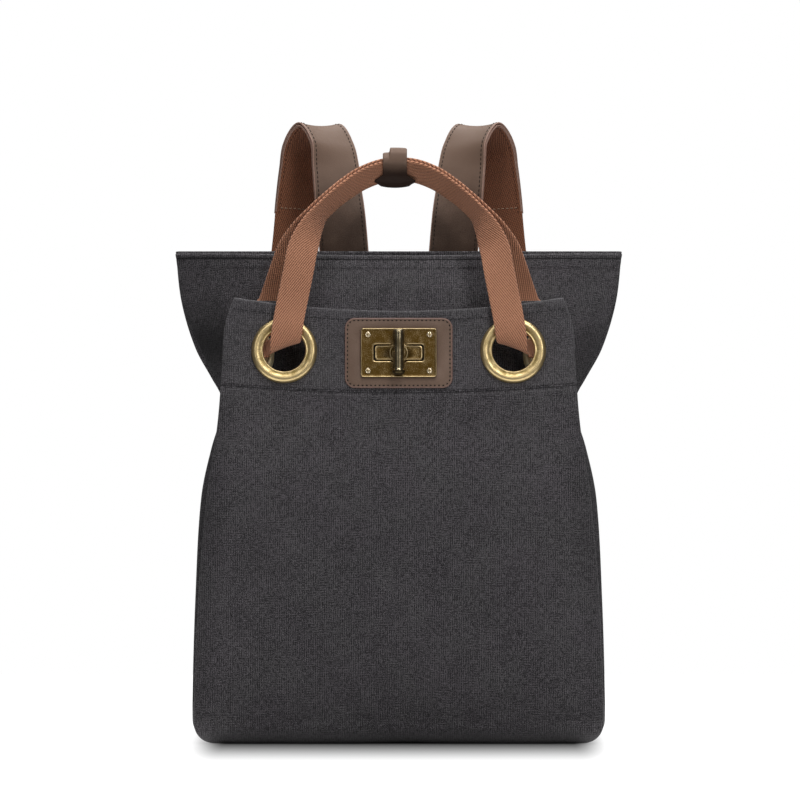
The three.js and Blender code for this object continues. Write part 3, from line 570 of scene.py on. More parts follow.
# Main bag
# The main bag behind the pocket is four more canvas walls: a front wall that bends forward into
# the pocket, a straight back, and two side gussets pinched at the waist. Its rims are hemmed.
MAIN_TOP = 384.0
BACK_TOP = 386.0
SIDE_TOP = 368.0
BACK_RIM_Y = 45.5
BACK_SLOPE = 0.0735
RIM_HEM = 11.0                   # depth of the folded hem along a rim
RIM_STITCH = 3.6                 # and of the stitch row on it
RIM_STITCHES = (3.4, 2.7, 0.42)
RIM_SAG = 2.8                    # the front rim hangs this much lower in the middle


def back_y(z):
    return BACK_RIM_Y + (BACK_TOP - z) * BACK_SLOPE


BACK_PANEL = {
    "z": [0, 30, 110, 190, 230, 260, 272, 284, 309, 346, 386],
    "half": [161.5, 162, 160.5, 156.5, 149, 141.5, 142.5, 149, 162.5, 173.5, 178],
    "y": [62, 63, 62.5, 60, 57, 55, 54, 53] + [back_y(z) for z in (309, 346, 386)],
    "bow": [0, 2, 3, 3, 2, 1.5, 1.2, 1, 0.5, 0, 0],
}
MAIN_WALL = {
    "z": [0, 30, 110, 190, 230, 260, 272, 284, 309, 346, 384],
    "half": [161.5, 162, 160, 156, 148, 139, 139.5, 145, 158, 171.5, 178],
    "y": [-11, -10, -6, 6, 14, 21, 24.5, 28, 34, 39, 43.1],
    "middle": [-14, -15, -19, -26, -30, -32, -31.6, -31, -29, -13, 5],
    "power": [8, 8, 6, 4, 3, 2.6, 2.4, 2.2, 2.1, 2.1, 2.2],
}
SIDE_FOLD = {
    "z": [0, 80, 200, 265, 320, 346, 386],
    "fold": [0, 0, 12, 18, 8, 0, 0],
}


def main_wall_y(x, z):
    half = rows_at(MAIN_WALL, "half", z)
    middle = rows_at(MAIN_WALL, "middle", z)
    turn_back = np.minimum(1, np.abs(x) / half) ** rows_at(MAIN_WALL, "power", z)
    return middle + (rows_at(MAIN_WALL, "y", z) - middle) * turn_back


def main_surface(u, v):
    z = CANVAS + v * (MAIN_TOP - CANVAS)
    depth = np.maximum(0, 1 - (z - CANVAS / 2) / FOOT_RADIUS)
    tuck = FOOT_RADIUS * (1 - np.sqrt(1 - depth * depth))
    s = spread(u)
    x = s * (rows_at(MAIN_WALL, "half", z) - tuck)
    sagged = z - RIM_SAG * v ** 8 * (1 - s * s) ** 2
    return np.stack([x, main_wall_y(x, z), sagged], -1)


def hem(below_rim):
    """Height of a folded and stitched hem along a rim. Its rim edge is paler, rub wear with a
    painted highlight, and painted shade darkens the stitch row.
    """
    height = 0.5 * (1 - ease(below_rim, RIM_HEM - 1, RIM_HEM + 0.8))
    height -= 0.3 * np.exp(-((below_rim - RIM_STITCH) / 1.1) ** 2)
    wear_and_painted_light = 0.2 * np.exp(-below_rim / 1.2) - 0.8 * np.exp(-((below_rim - RIM_STITCH) / 0.9) ** 2)
    return height, wear_and_painted_light


def main_relief(middle, u, v):
    x = middle[..., 0]
    z = middle[..., 2]
    below_rim = (1 - v) * MAIN_TOP
    height, wear_and_painted_light = hem(below_rim)
    side = 1 - np.abs(spread(u))
    calm = ease(below_rim, 0, 60) * ease(side, 0, 0.12)
    height = height + calm * (2.2 * ripple(middle, 60, 11) + 0.7 * ripple(middle, 24, 12))
    # Two soft drag folds run from the waist up into each wing
    for lean, reach, start in ((0.42, 1.5, 118), (0.2, 1.1, 100)):
        off = np.abs(x) - start - (z - 300) * lean
        height += calm * reach * np.exp(-(off / 7) ** 2) * ease(z, 290, 320)
    # Painted shade on the cloth folded away behind the pocket and into the wings, more on the left;
    # the upper wall is made paler under the hem
    wear_and_painted_light = wear_and_painted_light - 0.4 * ease(np.abs(x), 105, 130) * (1 - ease(z, 310, 345))
    wear_and_painted_light = wear_and_painted_light - 0.34 * ease(-x, 80, 130) * ease(z, 285, 315)
    wear_and_painted_light = wear_and_painted_light + 0.14 * ease(z, 335, 360) * (1 - ease(below_rim, RIM_HEM, 0))
    return height, wear_and_painted_light


def back_surface(u, v):
    s = spread(u)
    z, tuck = climb(v, BACK_TOP)
    x = s * (rows_at(BACK_PANEL, "half", z) - tuck)
    y = rows_at(BACK_PANEL, "y", z) - tuck + rows_at(BACK_PANEL, "bow", z) * (1 - s * s)
    return np.stack([-x, y, z], -1)


def back_relief(middle, u, v):
    below_rim = (1 - v) * BACK_TOP
    height, wear_and_painted_light = hem(below_rim)
    calm = ease(below_rim, 0, 40) * ease(1 - np.abs(spread(u)), 0, 0.1)
    return height + calm * ripple(middle, 70, 21), wear_and_painted_light


def side_surface(u, v):
    z, tuck = climb(v, SIDE_TOP)
    inward = rows_at(SIDE_FOLD, "fold", z) * (1 - (2 * u - 1) ** 2)
    front_half = rows_at(MAIN_WALL, "half", z)
    front_y = rows_at(MAIN_WALL, "y", z) + CANVAS / 2
    back_edge = rows_at(BACK_PANEL, "y", z) - tuck - CANVAS / 2
    x = front_half + u * (rows_at(BACK_PANEL, "half", z) - front_half) - CANVAS / 2 - tuck - inward
    return np.stack([x, front_y + u * (back_edge - front_y), z], -1)


def side_relief(middle, u, v):
    calm = ease(np.minimum(u, 1 - u), 0, 0.2)
    return calm * (1.2 * ripple(middle, 40, 31) + 0.4 * ripple(middle, 18, 32)), 0 * u


# Closer rows of the mesh along the rims
rim_lines = 1 - np.array([0.8, 1.8, 3.4, 4.1, 4.7, 5.3, 6, 9.6, 10.6, 11.6, 12.4]) / MAIN_TOP
main_columns = np.linspace(0, 1, 127)
main_rows = np.unique(np.concatenate([np.linspace(0, 1, 150), rim_lines]))
main_wall = canvas_wall(
    "main_front_wall_canvas", main_surface, main_columns, main_rows, heathered_canvas, main_relief)
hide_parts("main_front_wall")
back_columns = np.linspace(0, 1, 101)
back_rows = np.unique(np.concatenate([
    np.linspace(0, FOOT_ROWS, 13), np.linspace(FOOT_ROWS, 1, 120), rim_lines]))
back_panel = canvas_wall(
    "back_panel_canvas", back_surface, back_columns, back_rows, heathered_canvas, back_relief)
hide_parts("back_panel")
gusset_columns = np.linspace(0, 1, 33)
gusset_rows = np.unique(np.concatenate([np.linspace(0, FOOT_ROWS, 13), np.linspace(FOOT_ROWS, 1, 120)]))
for side, mirror in (("right", False), ("left", True)):
    side_gusset = canvas_wall(
        f"side_gusset_{side}_canvas", side_surface, gusset_columns, gusset_rows, heathered_canvas,
        side_relief, (), mirror)
    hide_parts(f"side_gusset_{side}")
rim_level = 1 - RIM_STITCH / MAIN_TOP
rim_seams = [
    seam_on(main_wall, main_columns, main_rows, seam_run, level * rim_level),
    seam_on(back_panel, back_columns, back_rows, seam_run, level * rim_level),
]
rim_stitching = stitches("rim_stitching", rim_seams, canvas_thread, *RIM_STITCHES)


# Pocket gussets
# A strip of the same canvas on each side of the pocket folds inward like a bellows: from the front
# panel's rolled edge in to a crease, then back to its seam on the main bag. It carries an eyelet.
POCKET_TOP = 345.0
POCKET_DROP = 24.0               # it ends this much lower at the main bag
CREASE = 0.75                    # share of its columns in front of the crease
INNER_EYELET = {"share": 0.44, "z": 303.0, "barrel": 16.0}
POCKET_SIDE = {
    "z": [0, 30, 110, 190, 230, 270, 345],
    "crease_x": [159, 158, 150, 134, 118, 104, 97],
    "crease_y": [-26, -26, -25, -20, -16, -12, -9],
    "seam_x": [161.5, 160.5, 149, 130, 111, 96, 89],
}


def pocket_surface(u, v):
    behind = np.maximum(0, (u - CREASE) / (1 - CREASE))
    z, tuck = climb(v, POCKET_TOP - POCKET_DROP * behind)
    edge_x = rows_at(FRONT_PANEL, "half", z) - CANVAS / 2 - tuck
    edge_y = rows_at(FRONT_PANEL, "y", z) + EDGE_ROLL * (1 - tuck / FOOT_RADIUS) + tuck
    edge_y = edge_y + CANVAS / 2
    crease_x = rows_at(POCKET_SIDE, "crease_x", z) - tuck
    crease_y = rows_at(POCKET_SIDE, "crease_y", z)
    seam_x = rows_at(POCKET_SIDE, "seam_x", z)
    wall_y = main_wall_y(seam_x, z)
    skew = (crease_x - seam_x) / np.hypot(crease_x - seam_x, crease_y - wall_y)
    seam_y = wall_y - CANVAS / 2 * (1 + np.abs(skew))
    ahead = np.minimum(u / CREASE, 1)
    x = edge_x + ahead * (crease_x - edge_x) + behind * (seam_x - tuck - crease_x)
    y = edge_y + ahead * (crease_y - edge_y) + behind * (seam_y - crease_y)
    return np.stack([x, y, z], -1)


pocket_foot = CANVAS / 2 + FOOT_RADIUS
inner_row = FOOT_ROWS + (1 - FOOT_ROWS) * (INNER_EYELET["z"] - pocket_foot) / (POCKET_TOP - pocket_foot)
near = np.array([-0.001, 0, 0.001])
inner_patch = pocket_surface(*np.meshgrid(INNER_EYELET["share"] + near, inner_row + near))
inner_seat = inner_patch[1, 1]
inner_out = facing(inner_patch)[1, 1]
pocket_columns = np.linspace(0, 1, 41)
for side, mirror in (("right", False), ("left", True)):
    pocket_gusset = canvas_wall(
        f"pocket_gusset_{side}_canvas", pocket_surface, pocket_columns, gusset_rows,
        heathered_canvas, None, [(inner_seat, inner_out, INNER_EYELET["barrel"])], mirror)
    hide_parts(f"pocket_gusset_{side}")


# Base
# A flat canvas panel closes the underside between the turned-under feet of the walls.
# It is sewn in all round and carries the bag on the floor.
BASE_OUTLINE = {
    "y": [-47.6, -26, -11, 47.6],
    "half": [142.6, 144.6, 147.6, 147.6],
}


def base_surface(u, v):
    y = BASE_OUTLINE["y"][0] + v * (BASE_OUTLINE["y"][-1] - BASE_OUTLINE["y"][0])
    half = np.interp(y, BASE_OUTLINE["y"], BASE_OUTLINE["half"])
    return np.stack([(1 - 2 * u) * half, y, np.full(u.shape, CANVAS / 2)], -1)


base_panel = canvas_wall(
    "base_panel_canvas", base_surface, np.linspace(0, 1, 61), np.linspace(0, 1, 25), heathered_canvas)
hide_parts("base_panel")


# Eyelets
# Four two-flange rings of pale antique brass: a large one on each side of the front panel and a
# smaller one behind it in the gusset. Their barrels are rolled over both faces of the canvas.
BRASS_PALE = (0.85, 0.655, 0.335, 1)
BRASS_OLD = (0.32, 0.23, 0.078, 1)
# A brighter brass that paints light onto the shaded rings inside the pocket
BRASS_PAINTED_LIGHT = (1.0, 0.9, 0.62, 1)
EYELET = {"hole": 16.5, "rim": 25.6, "barrel": 19.0, "grip": 1.4, "front": 4.2, "rear": 2.5}
INNER_RING = {"hole": 14.2, "rim": 20.0, "barrel": 15.6, "grip": 1.8, "front": 1.8, "rear": 1.8}
EYELET_TURN = 112                # sides of a turned ring


def brass_finish(name, pale, old, roughness, patina, speckle=0.35, clouds=0.9, metal=1.0):
    material, shader, place = finish(name, {"Metallic": metal})
    cloud = place.grain(160, 4)
    fine = place.grain(1400, 2)
    wear_and_painted_light = place.node("ShaderNodeAttribute", {"attribute_name": "wear_and_painted_light"}, None, 2)
    dull = ((1 - wear_and_painted_light) * patina + (cloud - 0.5) * clouds + (fine - 0.5) * speckle).band(-0.05, 0.95)
    dull.blend(pale, old).into(shader, "Base Color")
    (dull * 0.25 + fine * 0.1 + (roughness - 0.05)).into(shader, "Roughness")
    raised(fine * 0.2 + cloud, 0.00006, shader)
    return material


def turned(profile, sides):
    """Points of a shape turned about local Z from a closed loop of radius and height."""
    angle = np.arange(sides) * math.tau / sides
    radius = profile[:, 0]
    ring = np.stack([np.outer(np.cos(angle), radius), np.outer(np.sin(angle), radius),
                     np.outer(np.ones(sides), profile[:, 1])], -1)
    index = np.arange(ring[..., 0].size).reshape(ring.shape[:2])
    next_side = np.roll(index, -1, axis=0)
    quads = np.stack([index, next_side, np.roll(next_side, -1, axis=1), np.roll(index, -1, axis=1)], -1)
    steps = np.linalg.norm(np.roll(profile, -1, axis=0) - profile, axis=1)
    length = np.concatenate([[0], steps.cumsum()])
    arc = np.arange(sides + 1) * math.tau / sides * radius.mean()
    k, j = np.meshgrid(np.arange(sides), np.arange(len(profile)), indexing="ij")
    uv = np.stack([np.stack([arc[k], length[j]], -1), np.stack([arc[k + 1], length[j]], -1),
                   np.stack([arc[k + 1], length[j + 1]], -1), np.stack([arc[k], length[j + 1]], -1)], 2)
    return ring.reshape(-1, 3), quads.reshape(-1, 4), uv.reshape(-1, 4, 2)


# The crown of an eyelet from rim to hole: share of its width, share of its height, and wear
EYELET_CROWN = (
    (1.0, 0.0, 0.3), (0.985, 0.3, 0.55), (0.94, 0.58, 0.75), (0.87, 0.8, 0.9), (0.78, 0.93, 0.95),
    (0.68, 0.99, 0.85), (0.58, 1.0, 0.8), (0.48, 0.97, 0.75), (0.38, 0.9, 0.65), (0.29, 0.8, 0.5),
    (0.22, 0.72, 0.3), (0.17, 0.71, 0.5), (0.12, 0.76, 1.0), (0.06, 0.74, 1.0), (0.02, 0.62, 0.8),
    (0.0, 0.35, 0.3),
)


def eyelet_profile(size):
    """A loop round half of an eyelet's section, and how bright each point is worn."""
    width = size["rim"] - size["hole"]
    loop = [(size["hole"] + width * a, size["grip"] + size["front"] * b) for a, b, _ in EYELET_CROWN]
    wear_and_painted_light = [row[2] for row in EYELET_CROWN]
    for t in np.linspace(math.pi, math.tau, 9):
        share = 0.5 + 0.5 * math.cos(t)
        loop.append((size["hole"] + width * share, -size["grip"] + size["rear"] * math.sin(t)))
        wear_and_painted_light.append(0.5)
    loop.append((size["barrel"], -size["grip"]))
    loop.append((size["barrel"], size["grip"]))
    wear_and_painted_light += [0.1, 0.1]
    return np.array(loop)[::-1], np.array(wear_and_painted_light)[::-1]


def axes_for(out):
    """Local axes around a direction: two across it and the direction itself."""
    across = unit(np.cross(np.array([0, 0, 1.0]), out))
    return np.stack([across, np.cross(out, across), out])


eyelet_brass = brass_finish("eyelet_brass", BRASS_PALE, BRASS_OLD, 0.36, 0.8, speckle=0.7, clouds=2.0)
# The inner rings get a brighter, half-metal copy of the brass: painted light, as they sit in shade
inner_brass_painted_light = brass_finish("inner_brass_painted_light", BRASS_PAINTED_LIGHT, BRASS_PALE, 0.4, 0.75, metal=0.5)
rings = (
    ("eyelet", EYELET, np.array([EYELET_X, band_y(EYELET_Z), EYELET_Z]), band_out, eyelet_brass),
    ("inner_eyelet", INNER_RING, inner_seat, inner_out, inner_brass_painted_light),
)
for ring_name, size, seat, out, ring_brass in rings:
    loop, ring_worn = eyelet_profile(size)
    points, faces, uv = turned(loop, EYELET_TURN)
    placed = points @ axes_for(out) + seat
    for side, mirror in (("right", False), ("left", True)):
        made = shape(f"{ring_name}_{side}_ring", placed, faces, uv, [ring_brass], None,
                     np.tile(ring_worn, EYELET_TURN), mirror)
        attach(made, "bag")
        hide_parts(f"{ring_name}_{side}")


# Lock patch
# A rounded patch of taupe leather backs the turn lock on the front panel's band.
# Its edge is burnished and it is sewn down all round with dark thread.
LEATHER = (0.118, 0.074, 0.052, 1)
LEATHER_PULL = (0.24, 0.163, 0.124, 1)
LEATHER_EDGE = (0.27, 0.16, 0.13, 1)
LEATHER_EDGE_DARK = (0.15, 0.09, 0.07, 1)
LEATHER_THREAD = (0.012, 0.007, 0.005, 1)
LAYER_GAP = 0.3                  # between layers that lie on each other
PATCH_SEAM = 2.0                 # how far the stitches lie from the edge
PATCH_STITCHES = (3.3, 1.7, 0.5)
# The lock's opening is a bar with a round middle, and the patch is cut a little wider
SLOT = {"width": 39.0, "height": 13.2, "corner": 2.0, "round": 9.0}
SLOT_EASE = 1.4
OUTLINE_SIDES = 360


def leather_finish(name, base, pull):
    material, shader, place = finish(name, {"Specular IOR Level": 0.18})
    cloud = place.grain(38, 4)
    pore = place.grain(1300, 3)
    crease = place.stretch(420, 160).grain(1, 3)
    wear_and_painted_light = place.node("ShaderNodeAttribute", {"attribute_name": "wear_and_painted_light"}, None, 2)
    tone = cloud * 0.5 + pore * 0.35 + wear_and_painted_light * 0.6 + 0.05
    tone.band(0.15, 0.9).blend(base, pull).into(shader, "Base Color")
    (pore * 0.2 + cloud * 0.15 + 0.34).into(shader, "Roughness")
    raised(pore * 0.8 + crease * 0.5, 0.00018, shader)
    return material


def edge_finish(name, dark, pale):
    material, shader, place = finish(name, {"Specular IOR Level": 0.4})
    layers = place.stretch(300, 2600).grain(1, 3)
    layers.band(0.25, 0.8).blend(dark, pale).into(shader, "Base Color")
    (layers * 0.25 + 0.35).into(shader, "Roughness")
    raised(layers, 0.0002, shader)
    return material


def box_radius(angle, width, height, corner):
    """Distance from the middle of a rectangle with round corners to its outline."""
    c = np.abs(np.cos(angle))
    s = np.abs(np.sin(angle))
    x = width / 2
    y = height / 2
    straight = np.minimum(x / np.maximum(c, 1e-9), y / np.maximum(s, 1e-9))
    cx = x - corner
    cy = y - corner
    along = cx * c + cy * s
    reach = along + np.sqrt(np.maximum(corner ** 2 - (cx * s - cy * c) ** 2, 0))
    in_corner = (straight * c > cx) & (straight * s > cy)
    return np.where(in_corner, reach, straight)


def slot_radius(angle, margin):
    bar = box_radius(angle, SLOT["width"] + 2 * margin, SLOT["height"] + 2 * margin, SLOT["corner"])
    return np.maximum(bar, SLOT["round"] + margin)


outline_angle = np.arange(OUTLINE_SIDES) * math.tau / OUTLINE_SIDES
lock_axes = np.stack([np.array([1.0, 0, 0]), np.array([0, math.sin(LEAN), math.cos(LEAN)]), band_out])
lock_seat = np.array([0, LOCK_Y, LOCK_Z])


def stacked(outlines, close_middle=False):
    """A solid of outlines stacked in the lock's frame: each a radius for each angle and a height."""
    points = []
    for radius, height in outlines:
        radius = radius * np.ones(OUTLINE_SIDES)
        flat = np.stack([radius * np.cos(outline_angle), radius * np.sin(outline_angle)], -1)
        points.append(np.concatenate([flat, np.full((OUTLINE_SIDES, 1), height)], 1))
    local = np.array(points)
    count = len(outlines)
    index = np.arange(count * OUTLINE_SIDES).reshape(count, OUTLINE_SIDES)
    ahead = np.roll(index, -1, axis=1)
    above = np.roll(index, -1, axis=0)
    above_ahead = np.roll(ahead, -1, axis=0)
    last = -1 if close_middle else None
    quads = np.stack([index, ahead, above_ahead, above], -1)[:last].reshape(-1, 4).tolist()
    if close_middle:
        quads.append(index[0][::-1].tolist())
        quads.append(index[-1].tolist())
    flat = local.reshape(-1, 3)
    uv = [flat[face][:, :2] for face in quads]
    return flat @ lock_axes + lock_seat, quads, uv


def box_outline(size, inset=0.0):
    corner = max(size["corner"] - inset, 0.3)
    return box_radius(outline_angle, size["width"] - 2 * inset, size["height"] - 2 * inset, corner)


lock_leather = leather_finish("lock_patch_leather", LEATHER, LEATHER_PULL)
burnished_edge = edge_finish("burnished_edge", LEATHER_EDGE_DARK, LEATHER_EDGE)
patch_back = CANVAS / 2 + LAYER_GAP
patch_front = patch_back + PATCH["thick"]
patch_rings = [
    (box_outline(PATCH, 0.5), patch_back),
    (box_outline(PATCH), patch_back + 0.5),
    (box_outline(PATCH), patch_front - 0.7),
    (box_outline(PATCH, 0.35), patch_front - 0.2),
    (box_outline(PATCH, 1.0), patch_front),
    (box_outline(PATCH, 1.4), patch_front),
    (box_outline(PATCH, PATCH_SEAM), patch_front - 0.3),
    (box_outline(PATCH, 2.7), patch_front),
    (box_outline(PATCH, 6.0), patch_front),
    (slot_radius(outline_angle, SLOT_EASE), patch_front),
    (slot_radius(outline_angle, SLOT_EASE), patch_back),
]
points, faces, uv = stacked(patch_rings)
patch_picks = np.repeat([1, 1, 1, 1, 0, 0, 0, 0, 0, 0, 0], OUTLINE_SIDES)
lock_patch = shape("lock_patch_leather", points, faces, uv, [lock_leather, burnished_edge], patch_picks)
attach(lock_patch, "bag")
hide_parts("lock_patch")
leather_thread = thread_finish("leather_thread", LEATHER_THREAD)
sewn = box_outline(PATCH, PATCH_SEAM)
sewn_round = np.stack([sewn * np.cos(outline_angle), sewn * np.sin(outline_angle),
                       np.full(OUTLINE_SIDES, patch_front - 0.15)], -1)
sewn_round = np.concatenate([sewn_round, sewn_round[:1]]) @ lock_axes + lock_seat
patch_seam = (sewn_round, np.tile(band_out, (len(sewn_round), 1)))
patch_stitching = stitches("lock_patch_stitching", [patch_seam], leather_thread, *PATCH_STITCHES)


# Turn lock
# Die-cast plate of dark antique brass with bright raised edges, riveted at its four corners. A boss
# on the base behind it fills the slot, and the toggle bar turns on a post in the boss.
LOCK_BRIGHT = (0.62, 0.47, 0.25, 1)
LOCK_DARK = (0.105, 0.058, 0.0115, 1)
RIVET_PALE = (0.95, 0.82, 0.6, 1)
TOGGLE_PALE = (0.62, 0.52, 0.34, 1)
TOGGLE_DARK = (0.075, 0.055, 0.026, 1)
PLATE = {"width": 59.0, "height": 38.3, "thick": 2.2, "corner": 2.0}
RIVET = {"radius": 2.2, "rim": 0.5, "dome": 1.2, "x": 24.0, "y": 14.2}
RIVET_CROSS = {"half": 0.32, "reach": 1.75, "depth": 0.75}
LOCK_BASE = {"width": 34.0, "height": 22.0, "corner": 4.0, "thick": 1.6, "back": -11.8}
BOSS_PLAY = 0.9
BOSS_RECESS = 0.4
HUB = 7.4                        # radius of the raised hub round the post
TOGGLE = {"radius": 4.7, "post": 3.3, "lift": 0.6, "depth": 12.0}
BAR_HALF = 17.5
PINHOLE = 0.05                   # radius of the fine hole left on a turned solid's axis
TURNED_SIDES = 40
POST_SIDES = 32


def lock_piece(name, node, built, wear_and_painted_light, material, body="bag"):
    points, faces, uv = built
    made = shape(name, points, faces, uv, [material], None, wear_and_painted_light)
    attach(made, body)
    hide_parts(node)


lock_brass = brass_finish("lock_brass", LOCK_BRIGHT, LOCK_DARK, 0.3, 0.92, speckle=1.3)
# Each ring of these solids is an outline, its height and how bright it is worn
plate_back = patch_front + LAYER_GAP
plate_front = plate_back + PLATE["thick"]
plate_rings = [
    (box_outline(PLATE), plate_back, 0.1),
    (box_outline(PLATE), plate_front - 0.55, 0.4),
    (box_outline(PLATE, 0.12), plate_front - 0.2, 1.0),
    (box_outline(PLATE, 0.35), plate_front, 1.0),
    (box_outline(PLATE, 0.55), plate_front - 0.02, 1.0),
    (box_outline(PLATE, 0.8), plate_front - 0.3, 0.15),
    (box_outline(PLATE, 2.2), plate_front - 0.34, 0.1),
    (slot_radius(outline_angle, 1.6), plate_front - 0.34, 0.1),
    (slot_radius(outline_angle, 0.75), plate_front - 0.3, 0.3),
    (slot_radius(outline_angle, 0.45), plate_front - 0.34, 1.0),
    (slot_radius(outline_angle, 0), plate_front - 0.8, 1.0),
    (slot_radius(outline_angle, 0), plate_back, 0.0),
]
plate_worn = np.repeat([ring[2] for ring in plate_rings], OUTLINE_SIDES)
plate_built = stacked([ring[:2] for ring in plate_rings])
lock_piece("lock_plate_brass", "lock_plate", plate_built, plate_worn, lock_brass)

boss_front = plate_front - BOSS_RECESS
base_rings = [
    (box_outline(LOCK_BASE, 0.4), LOCK_BASE["back"], 0.3),
    (box_outline(LOCK_BASE), LOCK_BASE["back"] + 0.4, 0.3),
    (box_outline(LOCK_BASE), LOCK_BASE["back"] + 1.2, 0.3),
    (box_outline(LOCK_BASE, 0.4), LOCK_BASE["back"] + LOCK_BASE["thick"], 0.3),
    (slot_radius(outline_angle, -BOSS_PLAY), LOCK_BASE["back"] + LOCK_BASE["thick"], 0.1),
    (slot_radius(outline_angle, -BOSS_PLAY), boss_front - 2.0, 0.2),
    (slot_radius(outline_angle, -BOSS_PLAY - 0.3), boss_front - 1.7, 1.0),
    (slot_radius(outline_angle, -BOSS_PLAY - 0.9), boss_front - 1.6, 1.0),
    (slot_radius(outline_angle, -BOSS_PLAY - 1.2), boss_front - 1.75, 0.15),
    (np.minimum(slot_radius(outline_angle, -BOSS_PLAY - 1.4), HUB), boss_front - 1.75, 0.2),
    (np.minimum(slot_radius(outline_angle, -BOSS_PLAY - 1.4), HUB - 0.2), boss_front - 0.9, 1.0),
    (np.minimum(slot_radius(outline_angle, -BOSS_PLAY - 1.6), HUB - 1.1), boss_front - 0.8, 1.0),
    (np.minimum(slot_radius(outline_angle, -BOSS_PLAY - 1.8), HUB - 1.5), boss_front - 1.3, 0.1),
    (TOGGLE["post"] + 2.0, boss_front - 1.3, 0.1),
    (TOGGLE["post"] + 1.2, boss_front, 1.0),
    (TOGGLE["post"] + LAYER_GAP, boss_front - 0.2, 0.6),
    (TOGGLE["post"] + LAYER_GAP, boss_front - TOGGLE["depth"] - LAYER_GAP, 0.0),
]
base_worn = np.repeat([ring[2] for ring in base_rings], OUTLINE_SIDES)
base_built = stacked([ring[:2] for ring in base_rings], True)
lock_piece("lock_base_brass", "lock_base", base_built, base_worn, lock_brass)

# A rivet's head is a low dome with a cross struck into it
rivet_seat = plate_front + LAYER_GAP - 0.7
rivet_rim = rivet_seat + RIVET["rim"]
dome = np.linspace(0, math.pi / 2, 10)
rivet_loop = [(PINHOLE, rivet_seat), (RIVET["radius"], rivet_seat), (RIVET["radius"], rivet_rim)]
for t in dome[1:-1]:
    rivet_loop.append((RIVET["radius"] * math.cos(t), rivet_rim + RIVET["dome"] * math.sin(t)))
rivet_loop.append((PINHOLE, rivet_rim + RIVET["dome"]))
rivet_points, rivet_faces, rivet_uv = turned(np.array(rivet_loop), TURNED_SIDES)
arm = np.minimum(np.abs(rivet_points[:, 0]), np.abs(rivet_points[:, 1]))
in_cross = np.hypot(rivet_points[:, 0], rivet_points[:, 1]) < RIVET_CROSS["reach"]
recess = np.exp(-(arm / RIVET_CROSS["half"]) ** 2) * in_cross
rivet_points[:, 2] -= RIVET_CROSS["depth"] * recess * (rivet_points[:, 2] > rivet_rim)
rivet_brass = brass_finish("rivet_brass", RIVET_PALE, BRASS_OLD, 0.25, 0.9)
rivet_corners = (
    ("upper_left", -1, 1), ("upper_right", 1, 1),
    ("lower_left", -1, -1), ("lower_right", 1, -1),
)
for name, x, y in rivet_corners:
    shifted = rivet_points + np.array([x * RIVET["x"], y * RIVET["y"], 0])
    built = (shifted @ lock_axes + lock_seat, rivet_faces, rivet_uv)
    lock_piece(f"lock_rivet_{name}_head", f"lock_rivet_{name}", built,
               0.95 - 0.95 * recess, rivet_brass)

toggle_brass = brass_finish("toggle_brass", TOGGLE_PALE, TOGGLE_DARK, 0.13, 0.9)
bar_axis = plate_front + TOGGLE["lift"] + TOGGLE["radius"]
BAR_PROFILE = {
    "along": [-BAR_HALF, -17.2, -15.6, -14.5, -14.2, -13.7, -13.2, -12, -8.5, 0,
              10, 13.5, 15.6, 16.8, BAR_HALF],
    "radius": [3.4, 4.1, 4.8, 4.9, 4.9, 4.7, 4.45, 4.35, 4.3, 4.3, 4.35, 4.4, 4.5, 4.2, 3.4],
    "wear_and_painted_light": [0, 0, 0, 0.2, 1, 1, 0.35, 0.25, 0.3, 0.35, 0.3, 0.35, 0.45, 0.6, 0.3],
}
bar_run = np.linspace(-BAR_HALF, BAR_HALF, 71)
bar_loop = np.stack([np.interp(bar_run, BAR_PROFILE["along"], BAR_PROFILE["radius"]), bar_run], -1)
bar_worn = np.interp(bar_run, BAR_PROFILE["along"], BAR_PROFILE["wear_and_painted_light"])
bar_loop = np.concatenate([[[PINHOLE, -BAR_HALF]], bar_loop, [[PINHOLE, BAR_HALF]]])
bar_worn = np.concatenate([[0.4], bar_worn, [0.4]])
bar_points, bar_faces, bar_uv = turned(bar_loop, TURNED_SIDES)
bar_points = np.stack([bar_points[:, 0], bar_points[:, 2], bar_axis - bar_points[:, 1]], -1)
post_foot = boss_front - TOGGLE["depth"]
post_head = bar_axis - 2
post_loop = np.array([(PINHOLE, post_foot), (TOGGLE["post"], post_foot),
                      (TOGGLE["post"], post_head), (PINHOLE, post_head)])
post_points, post_faces, post_uv = turned(post_loop, POST_SIDES)
toggle_points = np.concatenate([bar_points, post_points]) @ lock_axes + lock_seat
toggle_faces = bar_faces.tolist() + (post_faces + len(bar_points)).tolist()
toggle_worn = np.concatenate([np.tile(bar_worn, TURNED_SIDES), np.full(len(post_points), 0.3)])
toggle_built = (toggle_points, toggle_faces, list(bar_uv) + list(post_uv))
lock_piece("lock_toggle_bar", "lock_toggle", toggle_built, toggle_worn, toggle_brass,
           "toggle")


